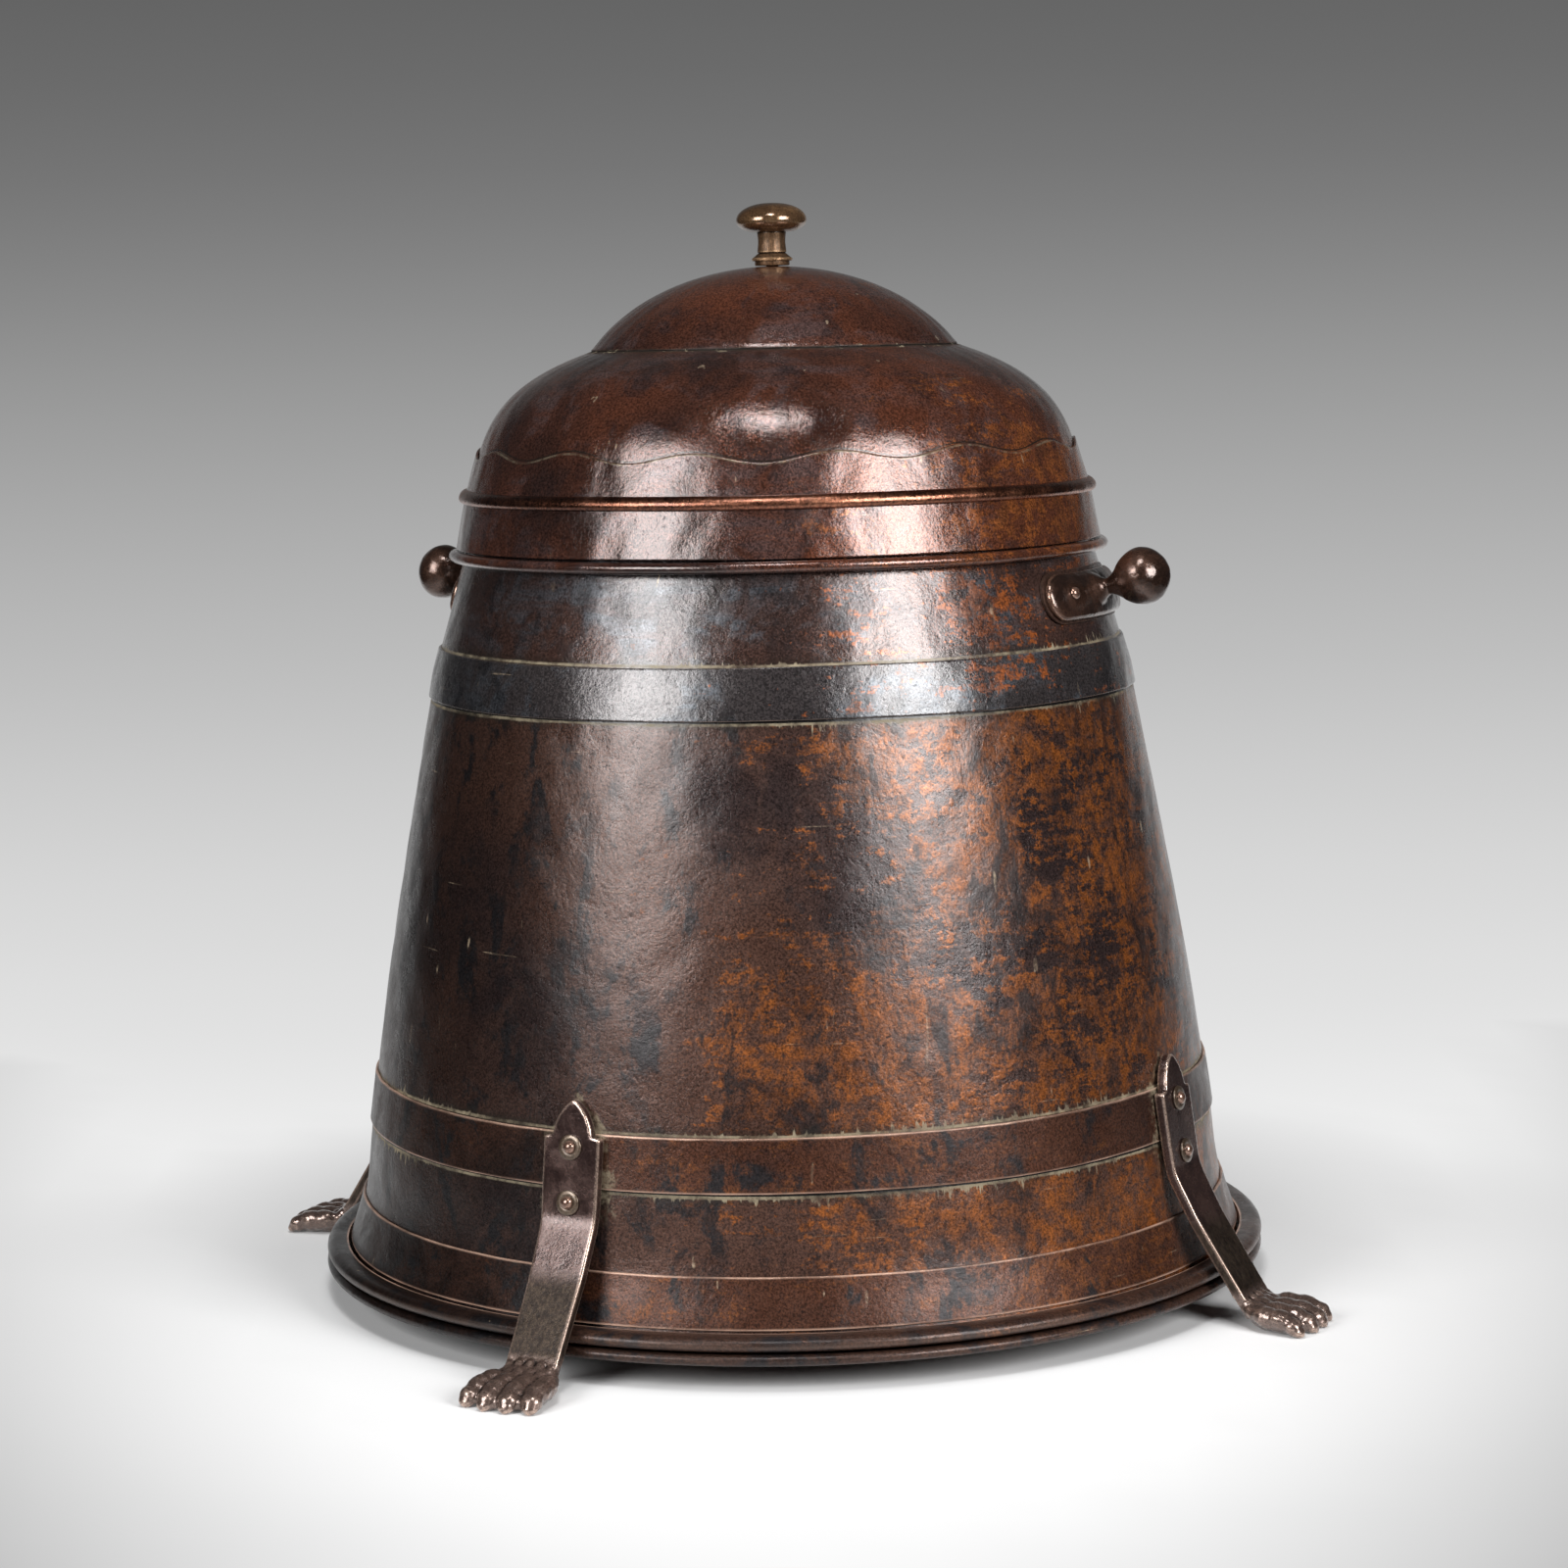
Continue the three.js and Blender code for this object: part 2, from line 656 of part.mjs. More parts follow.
// Rim wire outside the top of the neck
const rimWireLevel = neckTop - RIM_WIRE_RADIUS;
const rimWireMiddle = wallRadius(rimWireLevel) + RIM_WIRE_RADIUS / Math.cos(neckLean) + SEAT_GAP;
const rimWire = revolve(roundSection(rimWireMiddle, rimWireLevel, RIM_WIRE_RADIUS), RING_FACETS);

// Lid
const lidBeadLevel = neckTop - SKIRT_DROP;
const upperBeadLevel = neckTop - UPPER_BEAD_DROP;
const skirtBottom = lidBeadLevel + LID_BEAD_RADIUS + SEAT_GAP;
const waveLevel = upperBeadLevel + SKIRT_RISE;
const skirtRimRadius = rimWireMiddle + RIM_WIRE_RADIUS + LID_PLAY + SHEET;

// Outer radius of the skirt at a level; it leans in more above the upper bead
function skirtRadius(level) {
  const lean = level < upperBeadLevel ? SKIRT_LOW_LEAN : SKIRT_HIGH_LEAN;
  return skirtRimRadius + lean * (upperBeadLevel - level);
}

// Level of the skirt's wavy top at an angle
const waveTop = (angle) => waveLevel + (WAVE_HEIGHT / 2) * Math.cos(WAVE_COUNT * angle);

function lidSkirt() {
  const rings = [];
  const count = WAVE_COUNT * WAVE_FACETS;
  for (let step = 0; step < count; step += 1) {
    const angle = (FULL_TURN * step) / count;
    const levels = [skirtBottom, upperBeadLevel, waveTop(angle)];
    const outline = levels.map((level) => [skirtRadius(level), level]);
    const section = wallSection(outline, SHEET).slice(0, -1);
    rings.push(section.map(([radius, level]) => new THREE.Vector3(
      radius * Math.cos(angle), radius * Math.sin(angle), level,
    )));
  }
  return skin(rings, true);
}

// Shoulder: inside the skirt, then over in a full curve to the crease under the crown
const shoulderBottom = neckTop + SEAT_GAP;
const shoulderTurn = waveLevel - WAVE_HEIGHT / 2 - SHOULDER_COVER;
const creaseLevel = shoulderTurn + SHOULDER_HEIGHT;
const skirtFacetSag = skirtRimRadius * (1 - Math.cos(HALF_TURN / (WAVE_COUNT * WAVE_FACETS)));
const shoulderRadius = (level) => skirtRadius(level) - SHEET - SEAT_GAP - skirtFacetSag;
const shoulderPullShares = [[0.868, 0.423], [0.503, 0.19]];

function lidShoulder() {
  const wide = shoulderRadius(shoulderTurn);
  const pulls = shoulderPullShares.map(([inwards, down]) => new THREE.Vector2(
    between(CREASE_RADIUS, wide, inwards),
    creaseLevel - SHOULDER_HEIGHT * down,
  ));
  const curve = new THREE.CubicBezierCurve(
    new THREE.Vector2(wide, shoulderTurn),
    pulls[0],
    pulls[1],
    new THREE.Vector2(CREASE_RADIUS, creaseLevel),
  );
  const dome = curve.getPoints(DOME_STEPS).map((point) => [point.x, point.y]);
  const lip = [CREASE_RADIUS - 2 * SHEET, creaseLevel];
  const outline = [[shoulderRadius(shoulderBottom), shoulderBottom], ...dome, lip];
  return revolve(domeSection(outline, SHEET), RING_FACETS);
}

// Crown: part of an ellipse from the crease to the stud's hole
const crownBottom = creaseLevel + SEAT_GAP;
const crownSpreadShare = 1.133;
const crownSpread = CREASE_RADIUS * crownSpreadShare;
const crownEdgeShare = Math.sqrt(1 - (CREASE_RADIUS / crownSpread) ** 2);
const crownHalfHeight = CROWN_RISE / (1 - crownEdgeShare);
const crownMiddle = crownBottom - crownHalfHeight * crownEdgeShare;
const crownLevel = (radius) => (
  crownMiddle + crownHalfHeight * Math.sqrt(1 - (radius / crownSpread) ** 2)
);
const crownTop = crownLevel(0);
const studHole = STUD_RADIUS + SEAT_GAP;

function lidCrown() {
  const outline = [];
  for (let step = 0; step <= DOME_STEPS; step += 1) {
    const radius = between(CREASE_RADIUS, studHole, step / DOME_STEPS);
    outline.push([radius, crownLevel(radius)]);
  }
  return revolve(domeSection(outline, SHEET), RING_FACETS);
}

function lidUpperBead() {
  const half = UPPER_BEAD_HEIGHT / 2;
  const seat = SEAT_GAP + facetSag(skirtRimRadius);
  const outline = [];
  for (let step = 0; step <= BEAD_FACETS / 2; step += 1) {
    const angle = (HALF_TURN * step) / (BEAD_FACETS / 2) - QUARTER_TURN;
    const level = upperBeadLevel + half * Math.sin(angle);
    outline.push([skirtRadius(level) + seat + UPPER_BEAD_DEPTH * Math.cos(angle), level]);
  }
  const back = [skirtRadius(upperBeadLevel) + seat, upperBeadLevel];
  return revolve(closed([...outline, back]), RING_FACETS);
}

const lidLowerBead = revolve(
  roundSection(skirtRadius(skirtBottom) + LID_BEAD_PROUD - LID_BEAD_RADIUS, lidBeadLevel, LID_BEAD_RADIUS),
  RING_FACETS,
);

// Knob: shares that shape its head, neck and collar
const headRadiusShares = [0.45, 0.82, 1, 0.94, 0.75, 0.42];
const headUnderShares = [1, 0.55, 0];
const headTopShares = [0.4, 0.74, 0.94];
const grooveShare = 0.92;
const collarFlareShare = 0.3;

function lidKnob() {
  const footBottom = crownTop + SEAT_GAP;
  const footTop = footBottom + KNOB_FOOT_HEIGHT;
  const collarTop = footTop + KNOB_COLLAR_HEIGHT;
  const neckTopLevel = collarTop + KNOB_NECK_HEIGHT;
  const widest = neckTopLevel + KNOB_HEAD_UNDER_HEIGHT;
  const stack = SHEET + SEAT_GAP + NUT_WASHER_HEIGHT + SEAT_GAP + NUT_HEIGHT + STUD_END;
  const headLevels = [
    ...headUnderShares.map((share) => widest - KNOB_HEAD_UNDER_HEIGHT * share),
    ...headTopShares.map((share) => widest + KNOB_HEAD_TOP_HEIGHT * share),
  ];
  const head = headRadiusShares.map((share, index) => [KNOB_HEAD_RADIUS * share, headLevels[index]]);
  return revolve([
    [0, crownTop - stack],
    [STUD_RADIUS, crownTop - stack],
    [STUD_RADIUS, footBottom],
    [KNOB_FOOT_RADIUS, footBottom],
    [KNOB_FOOT_RADIUS, footTop],
    [KNOB_COLLAR_RADIUS, footTop],
    [KNOB_COLLAR_RADIUS, between(footTop, collarTop, collarFlareShare)],
    [KNOB_NECK_RADIUS, collarTop],
    [KNOB_NECK_RADIUS * grooveShare, collarTop + SEAT_GAP],
    [KNOB_NECK_RADIUS, collarTop + 2 * SEAT_GAP],
    [KNOB_NECK_RADIUS, neckTopLevel],
    ...head,
    [0, widest + KNOB_HEAD_TOP_HEIGHT],
  ], KNOB_FACETS);
}

// Washer and square nut under the crown; the dome falls away from a flat washer at its edge
const washerDrop = crownTop - crownLevel(NUT_WASHER_RADIUS);
const nutWasherBottom = crownTop - SHEET - washerDrop - SEAT_GAP - NUT_WASHER_HEIGHT;

function knobNut() {
  const block = new THREE.BoxGeometry(2 * NUT_FLATS_RADIUS, 2 * NUT_FLATS_RADIUS, NUT_HEIGHT);
  const hole = new THREE.CylinderGeometry(studHole, studHole, CUT_OVERRUN, SMALL_FACETS)
    .rotateX(QUARTER_TURN);
  return cut(block, [hole]).translate(0, 0, nutWasherBottom - SEAT_GAP - NUT_HEIGHT / 2);
}

addPiece(bin, 'drum_shell', drumShell(), COPPER);
addPiece(bin, 'neck_shell', neckShell(), COPPER);
addPiece(bin, 'neck_rim_wire', rimWire, COPPER);
const upperBandBottom = neckBottom - UPPER_BAND_HEIGHT / 2;
addPiece(bin, 'upper_band', band(upperBandBottom, upperBandBottom + UPPER_BAND_HEIGHT), DARK_COPPER);
addPiece(bin, 'hoop_band', hoopBand(), COPPER);
addPiece(bin, 'foot_band', band(flangeTop + SEAT_GAP, flangeTop + FOOT_BAND_HEIGHT), COPPER);
addPiece(bin, 'base_flange', baseFlange(), DARK_COPPER);
addPiece(bin, 'bottom_pan', bottomPan(), DARK_COPPER);
addPiece(bin, 'base_bead', baseBead, DARK_COPPER);
Object.entries(FOOT_PLACES).forEach(([name, place]) => addFoot(name, place));
Object.entries(HANDLE_PLACES).forEach(([name, place]) => addHandle(name, place));
addPiece(lid, 'lid_crown', lidCrown(), COPPER);
addPiece(lid, 'lid_shoulder', lidShoulder(), COPPER);
addPiece(lid, 'lid_skirt', lidSkirt(), COPPER);
addPiece(lid, 'lid_upper_bead', lidUpperBead(), BRIGHT_COPPER);
addPiece(lid, 'lid_lower_bead', lidLowerBead, COPPER);
addPiece(lid, 'lid_knob', lidKnob(), BRASS);
const nutWasher = washer(studHole, NUT_WASHER_RADIUS, NUT_WASHER_HEIGHT).translate(0, 0, nutWasherBottom);
addPiece(lid, 'lid_knob_washer', nutWasher, BRASS);
addPiece(lid, 'lid_knob_nut', knobNut(), BRASS);

export default bin;
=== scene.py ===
import contextlib
import math

import bmesh
import bpy
import numpy as np
from mathutils import Matrix, Vector, noise


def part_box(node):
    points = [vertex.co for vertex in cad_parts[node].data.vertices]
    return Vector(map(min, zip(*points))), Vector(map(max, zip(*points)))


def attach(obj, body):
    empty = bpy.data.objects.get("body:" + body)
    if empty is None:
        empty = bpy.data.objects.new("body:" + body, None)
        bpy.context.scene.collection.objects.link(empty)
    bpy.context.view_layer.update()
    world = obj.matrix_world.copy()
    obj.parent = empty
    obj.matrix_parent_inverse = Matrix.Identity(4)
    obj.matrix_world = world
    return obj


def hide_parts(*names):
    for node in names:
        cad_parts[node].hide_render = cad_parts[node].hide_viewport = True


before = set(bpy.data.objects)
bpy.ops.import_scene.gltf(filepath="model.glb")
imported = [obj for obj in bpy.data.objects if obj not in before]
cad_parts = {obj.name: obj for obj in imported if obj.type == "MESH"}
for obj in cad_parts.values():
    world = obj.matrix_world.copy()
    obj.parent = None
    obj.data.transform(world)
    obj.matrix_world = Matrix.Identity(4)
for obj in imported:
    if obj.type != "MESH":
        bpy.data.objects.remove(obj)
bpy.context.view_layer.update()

FULL_TURN = 2 * math.pi
QUARTER_TURN = math.pi / 2

# Sheet, bands and the gaps between pieces, in metres
SHEET = 0.0015
BAND_SHEET = 0.0012
SNUG_GAP = 0.0001
FRAME_GAP = 0.0003
EDGE_BULGE = 0.0003
EDGE_INSET = 0.0012
LEVEL_TOUCH = 0.00002

# Fineness of the meshes
RING_SEGMENTS = 288
KNOB_SEGMENTS = 96
SMALL_SEGMENTS = 40
WIRE_SIDES = 24
WALL_STEP = 0.004
FINE_STEP = 0.001
CAP_STEPS = 5
BEAD_ARC_POINTS = 13
DOME_STEPS = 44
EGG_STEPS = 14
BAR_CORNER_STEPS = 4
FOOT_VOXEL = 0.00055
HANDLE_VOXEL = 0.0005
CAST_WEAR_ROUNDS = 3
SOFTENING_SHARE = 0.5
SHARP_ANGLE = math.radians(50)
WEAR_GAIN = 2.5

# Seeds of the random draws: marks and waver of wall and lid, and the first head of feet and handles
WALL_SEEDS, LID_SEEDS = (11, 12), (21, 22)
FOOT_HEAD_SEED, HANDLE_HEAD_SEED = 31, 51

# Hammer marks in the sheet and the waver of edges
DENT_DEPTH = 0.0003
DENT_WAVES = 70
DENT_TURNS = (6, 60)
DENT_RISE = 0.024
PAN_CALM_RADIUS = 0.06
CROWN_CALM_RADIUS = 0.08
EDGE_WAVER = 0.0005
# Roughness of castings: how fast it falls from layer to layer, how much finer each is, and layers
cast_noise = (0.7, 2.0, 3)
WALL_WAVER_TURNS = (2, 9)
LID_WAVER_TURNS = (2, 7)
WAVER_RISE = 1

# Drum and base: shares of height, of the way from foot to top radius and of the flange's depth
drum_height_shares = [0, 0.03, 0.11, 0.22, 0.5, 0.8, 1]
drum_taper_shares = [0, 0.04, 0.175, 0.255, 0.483, 0.786, 1]
flange_depth_shares = [0, 0.7, 0.94, 1, 0.96, 0.77, 0.4, 0]
flange_level_shares = [0, 0, 0.17, 0.45, 0.68, 0.92, 1, 0.96]
BEAD_FACETS = 6
BEAD_SLACK = 0.0003
BEAD_FLATNESS = 0.86

# Lid
WAVE_COUNT = 14
WAVE_HEIGHT = 0.0045
WAVE_UNEVENNESS = 0.0003
WAVE_UNEVEN_TURNS = ((3, 1.0), (5, 2.5))
SKIRT_EDGE_SHEET = 0.0011
SKIRT_THINNING = 0.012
SHOULDER_HEIGHT = 0.0494
SHOULDER_LIFT = 0.0003
shoulder_pull_shares = [(0.868, 0.423), (0.503, 0.19)]
CROWN_SPREAD_SHARE = 1.133
STUD_HOLE = 0.0033
BEAD_BITE = 0.0002
LID_BEAD_WAVER = 0.0003

# Knob and nut, with shares of the knob's neck radius, of its collar's height and of its neck's height
KNOB_STACK_HEIGHTS = {"foot": 0.0022, "collar": 0.0034, "neck": 0.01, "under": 0.0054, "cap": 0.0083}
KNOB_RADII = {"foot": 0.0082, "collar": 0.0096, "neck": 0.0067, "head": 0.0167, "stud": 0.003}
FLARE_START_SHARE, FLARE_MIDDLE_SHARE, FLARE_WIDTH_SHARE = 0.32, 0.66, 1.2
GROOVE_SHARE, WAIST_SHARE, WAIST_LEVEL_SHARE, NECK_END_SHARE = 0.93, 0.96, 0.6, 1.02
CAP_POWER = 0.9
THREAD_PITCH = 0.001
THREAD_DEPTH = 0.0003
NUT_CHAMFER_SHARE = 0.95
NUT_SQUARENESS = 14

# Rivets
SHANK_RADIUS = 0.0019
HEAD_RADIUS = 0.0029
HEAD_HEIGHT = 0.0022
TAIL_RADIUS = 0.0032
TAIL_HEIGHT = 0.0015
RIVET_WASHER_RADIUS = 0.0056
RIVET_WASHER_HEIGHT = 0.0008
RIVET_DROP = 0.0055
FOOT_RIVET_SLACK = 0.00112
HANDLE_RIVET_SLACK = 0.00243
HANDLE_RIVET_SPREAD = 0.054
HEAD_ARC_POINTS = 9
HEAD_DENT_TURNS = (1, 4)
HEAD_DENT_RISE = 0.004
HEAD_DENT_WAVES = 6
HEAD_DENT_SHARE = 0.04

# Feet, as degrees from the front, and their straps
FOOT_PLACES = {"front": 0, "right": 87, "rear": 180, "left": 275}
STRAP_THICKNESS = 0.005
STRAP_WIDTH = 0.028
STRAP_FOOT_SHARE = 0.91
STRAP_BEND_DROP = 0.015
STRAP_RIM_GAP = 0.0025
STRAP_WORN = 0.0008
STRAP_STEP = 0.0015
BEND_SOFTENING = 12
KNEE_SHARE = 0.53
LEAF_RISE = 0.014
LEAF_HEIGHT = 0.0165
# Strap outline: drop from its tip with the half width there, in shares of leaf height and strap width
leaf_outline_shares = [
    (0.0, 0.04), (0.05, 0.14), (0.14, 0.26), (0.25, 0.38), (0.4, 0.5), (0.58, 0.6), (0.72, 0.66),
    (0.86, 0.69), (0.93, 0.72), (0.95, 0.96), (1.0, 1.0),
]

# Paws
PAW_LENGTH = 0.036
PAW_WIDTH = 0.043
PAW_HEIGHT = 0.013
PAW_SETOUT = 0.016
ANKLE_SHARE = 0.3
TOE_COUNT = 4
TOE_SETBACK = 0.0035
TOE_SPLAY = 0.84
TOE_REACH = 0.02
PAW_SMOOTHING = 3
PAW_SOFTENING = 12
PAW_ROUGHNESS = 0.00016
PAW_GRAIN = 420
PAW_ROUGH_FADE = 0.006
STRAP_ROUGH_SHARE = 0.03
# Lumps of a toe from knuckle to claw: back from the tip, level, half length, width and height, tilt
toe_lumps = [
    (0.0185, 0.0068, 0.0085, 0.0054, 0.0050, 0.25),
    (0.0122, 0.0068, 0.0074, 0.0053, 0.0046, 0.2),
    (0.0058, 0.0046, 0.0048, 0.0049, 0.0042, 0.35),
    (0.0032, 0.0024, 0.0030, 0.0040, 0.0026, 0.2),
    (0.0021, 0.0026, 0.0031, 0.0015, 0.0019, 0.95),
]
# The paw's body, then tufts of fur: out from the heel, aside, level, half length, width and height, tilt
paw_lumps = [
    (0.013, 0.0, 0.0042, 0.0125, 0.0155, 0.0062, 0.05),
    (0.020, 0.0, 0.0036, 0.0120, 0.0180, 0.0052, 0.05),
    (0.0045, 0.0000, 0.0112, 0.0050, 0.0028, 0.0024, 0.75),
    (0.0042, 0.0052, 0.0108, 0.0052, 0.0027, 0.0024, 0.75),
    (0.0042, -0.0052, 0.0110, 0.0050, 0.0028, 0.0024, 0.75),
    (0.0040, 0.0104, 0.0096, 0.0052, 0.0028, 0.0026, 0.8),
    (0.0040, -0.0104, 0.0098, 0.0050, 0.0028, 0.0026, 0.8),
    (0.0085, 0.0026, 0.0096, 0.0052, 0.0030, 0.0024, 0.5),
    (0.0085, -0.0026, 0.0098, 0.0050, 0.0030, 0.0024, 0.5),
    (0.0080, 0.0080, 0.0090, 0.0052, 0.0030, 0.0026, 0.5),
    (0.0080, -0.0080, 0.0088, 0.0052, 0.0030, 0.0026, 0.5),
    (0.0070, 0.0128, 0.0070, 0.0056, 0.0030, 0.0032, 0.45),
    (0.0070, -0.0128, 0.0072, 0.0056, 0.0030, 0.0032, 0.45),
]

# Castings are made on the +X side, in degrees from the front
CASTING_PLACE = 90

# Handles, as degrees from the front
HANDLE_PLACES = {"right": 94, "left": 274}
PAD_LENGTH = 0.088
PAD_WIDTH = 0.021
PAD_THICKNESS = 0.0044
PAD_EDGE = 0.0016
PLATE_BORDER = 0.0014
BALL_RADIUS = 0.0133
HORN_REACH = 0.041
HORN_SIDES = 40
TABLET_ROWS = 72
TABLET_POINTS = 13
HANDLE_SMOOTHING = 4
HANDLE_ROUGHNESS = 0.00012
HANDLE_GRAIN = 160
# Horn and ball: shares of the reach, of the ball's radius along the pad and of it upright
horn_shares = [
    (0.05, 1.36, 0.66), (0.11, 1, 0.62), (0.17, 0.58, 0.47), (0.22, 0.37, 0.35), (0.265, 0.29, 0.29),
    (0.32, 0.35, 0.35), (0.39, 0.51, 0.51), (0.46, 0.72, 0.72), (0.55, 0.9, 0.9), (0.64, 0.99, 0.99),
    (0.72, 1, 1), (0.81, 0.92, 0.92), (0.89, 0.72, 0.72), (0.96, 0.42, 0.42), (1, 0.06, 0.06),
]

# Camera, as measured on the photograph
CAMERA_AZIMUTH = 28
CAMERA_DISTANCE = 1.786
CAMERA_HEIGHT = 0.452
CAMERA_PITCH = math.radians(6.9)
CAMERA_ROLL = math.radians(1.3)
CAMERA_LENS = 86.1

# Softboxes: degrees from the camera, width, low and high level, brightness
SOFTBOX_DISTANCE = 2.2
softboxes = {"left": (-45.5, 1.0, 0.55, 1.85, 11.5), "right": (41.7, 1.0, 0.55, 1.85, 15.0)}
# Lamps above: degrees from the camera, distance, level, size, brightness
lamps_above = {"overhead": (0, 0.3, 2.9, 1.8, 2.4), "crown_lamp": (-4, 1.0, 2.15, 0.4, 26.0)}
WORLD_COLOR = (0.02, 0.02, 0.022)

# Paper sweep
PAPER_ALBEDO = 0.84
PAPER_GRAIN = 0.01
SWEEP_LEFT, SWEEP_RIGHT = -0.85, 0.9
SWEEP_FRONT, SWEEP_BACK = -1.6, 0.6
SWEEP_BEND = 0.7
SWEEP_TOP = 2.0
SWEEP_STEP = 0.05
SWEEP_BEND_STEPS = 30
# Painted fall-off of light on the paper, by metres along it from the bin's middle
sweep_painted_light = [
    (-0.45, 0.98), (0.0, 0.93), (0.23, 0.87), (0.51, 0.79), (0.76, 0.73), (0.91, 0.67), (1.03, 0.597),
    (1.13, 0.521), (1.23, 0.451), (1.32, 0.381), (1.41, 0.309), (1.49, 0.242), (1.57, 0.186),
    (1.65, 0.15), (1.73, 0.127), (2.0, 0.06), (3.0, 0.03),
]
# The paper is its own light beyond these distances from the bin's middle, so that it fades evenly
GLOW_NEAR, GLOW_FAR = 0.255, 0.44
# Its front corners are in the shade: slope from the camera's foot where it starts, rate and least light
CORNER_START = 0.205
CORNER_RATE = 4.4
CORNER_LEAST = 0.3


# Meshes

def show(name, data, material=None):
    """An object in the scene for a mesh, a lamp or a camera."""
    piece = bpy.data.objects.new(name, data)
    bpy.context.scene.collection.objects.link(piece)
    if material:
        data.materials.append(material)
    return piece


def settle(piece, body, slot, *nodes):
    """Gives a piece its body and hides the frame's nodes that it stands for; the slot is not used."""
    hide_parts(*nodes)
    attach(piece, body)


def new_mesh(name, points, faces):
    mesh = bpy.data.meshes.new(name)
    mesh.from_pydata([tuple(point) for point in points], [], [tuple(face) for face in faces])
    return mesh


@contextlib.contextmanager
def reworked(mesh):
    """Opens a mesh for changes and writes them back."""
    work = bmesh.new()
    work.from_mesh(mesh)
    yield work
    work.to_mesh(mesh)
    work.free()


def store(mesh, key, values):
    """Keeps a value for each point of a mesh."""
    mesh.attributes.new(key, "FLOAT", "POINT").data.foreach_set("value", np.array(values, np.float32))


def point_values(mesh, key):
    """Places or normals of a mesh's points as rows."""
    values = np.zeros(len(mesh.vertices) * 3)
    mesh.vertices.foreach_get(key, values)
    return values.reshape(-1, 3)


def grid_faces(rows, count, closed_rows=False, closed=True):
    """Faces between neighbouring rows of points."""
    faces = []
    for row in range(rows if closed_rows else rows - 1):
        here, there = row * count, (row + 1) % rows * count
        for side in range(count if closed else count - 1):
            beside = (side + 1) % count
            faces.append((here + side, there + side, there + beside, here + beside))
    return faces


def new_piece(name, points, faces, material, sooty=None):
    """A mesh object, welded, with its faces out and smooth but for its sharp edges."""
    mesh = new_mesh(name, points, faces)
    if sooty is not None:
        store(mesh, "soot", sooty)
    with reworked(mesh) as work:
        bmesh.ops.remove_doubles(work, verts=work.verts, dist=LEVEL_TOUCH / 2)
        bmesh.ops.recalc_face_normals(work, faces=work.faces)
        for face in work.faces:
            face.smooth = True
        for edge in work.edges:
            if len(edge.link_faces) == 2:
                edge.smooth = edge.calc_face_angle() < SHARP_ANGLE
    return show(name, mesh, material)


def mark_wear(piece, rounds=2):
    """Stores how sharply each point stands out: 1 on a sharp edge, -1 in a groove."""
    mesh = piece.data
    count = len(mesh.vertices)
    places, normals = point_values(mesh, "co"), point_values(mesh, "normal")
    edges = np.zeros(len(mesh.edges) * 2, int)
    mesh.edges.foreach_get("vertices", edges)
    near, far = edges.reshape(-1, 2).T
    ends, others = np.concatenate([near, far]), np.concatenate([far, near])
    links = np.maximum(np.bincount(ends, minlength=count), 1)
    run = places[others] - places[ends]
    run /= np.maximum(np.linalg.norm(run, axis=1), LEVEL_TOUCH)[:, None]
    bulge = np.bincount(ends, ((normals[others] - normals[ends]) * run).sum(1), count) / links
    for _ in range(rounds):
        bulge = (bulge + np.bincount(ends, bulge[others], count) / links) / 2
    store(mesh, "wear", np.clip(bulge * WEAR_GAIN, -1, 1))


def lathe(name, section, material, shape=None, segments=RING_SEGMENTS, outer_count=None):
    """A closed section of across and level values, turned round the axis; shape gives radius and level.

    A sheet's section begins with its outer points, and its inside is sooty beyond its upper edge.
    """
    section = np.array(section)
    count = len(section)
    angles = np.arange(segments) * FULL_TURN / segments
    angle, across = np.meshgrid(angles, section[:, 0], indexing="ij")
    level = np.broadcast_to(section[:, 1], across.shape)
    radius, level = shape(angle, across, level) if shape else (across, level)
    points = np.stack([radius * np.cos(angle), radius * np.sin(angle), level], -1).reshape(-1, 3)
    sooty = np.arange(len(points)) % count >= (outer_count + CAP_STEPS if outer_count else count)
    piece = new_piece(name, points, grid_faces(segments, count, closed_rows=True), material, sooty)
    mark_wear(piece)
    return piece


def between(start, end, share):
    """A value at a share of the way from start to end."""
    return start + (end - start) * share


def straight_line(start, end, step):
    """Points about one step apart from start to end."""
    start, end = np.array(start, float), np.array(end, float)
    count = max(int(round(np.linalg.norm(end - start) / step)), 1)
    return between(start, end, np.linspace(0, 1, count + 1)[:, None])


def curve_through(points, step):
    """Points about one step apart on a smooth curve through the given ones."""
    points = np.array(points, float)
    spans = np.linalg.norm(np.diff(points, axis=0), axis=1)
    along = np.concatenate([[0], np.cumsum(spans)])
    slopes = np.gradient(points, along, axis=0)
    count = max(int(round(along[-1] / step)), 2)
    out = []
    for place in np.linspace(0, along[-1], count + 1):
        part = min(np.searchsorted(along, place, side="right") - 1, len(spans) - 1)
        share = (place - along[part]) / spans[part]
        squared, cubed = share ** 2, share ** 3
        out.append(
            points[part] * (2 * cubed - 3 * squared + 1)
            + slopes[part] * spans[part] * (cubed - 2 * squared + share)
            + points[part + 1] * (3 * squared - 2 * cubed)
            + slopes[part + 1] * spans[part] * (cubed - squared)
        )
    return np.array(out)


def bezier(start, first, second, end, steps):
    """Points on a curve that leaves its ends towards two pulls."""
    share = np.linspace(0, 1, steps + 1)[:, None]
    rest = 1 - share
    corners = (np.array(corner) for corner in (start, first, second, end))
    weights = rest ** 3, 3 * rest ** 2 * share, 3 * rest * share ** 2, share ** 3
    return sum(corner * weight for corner, weight in zip(corners, weights))


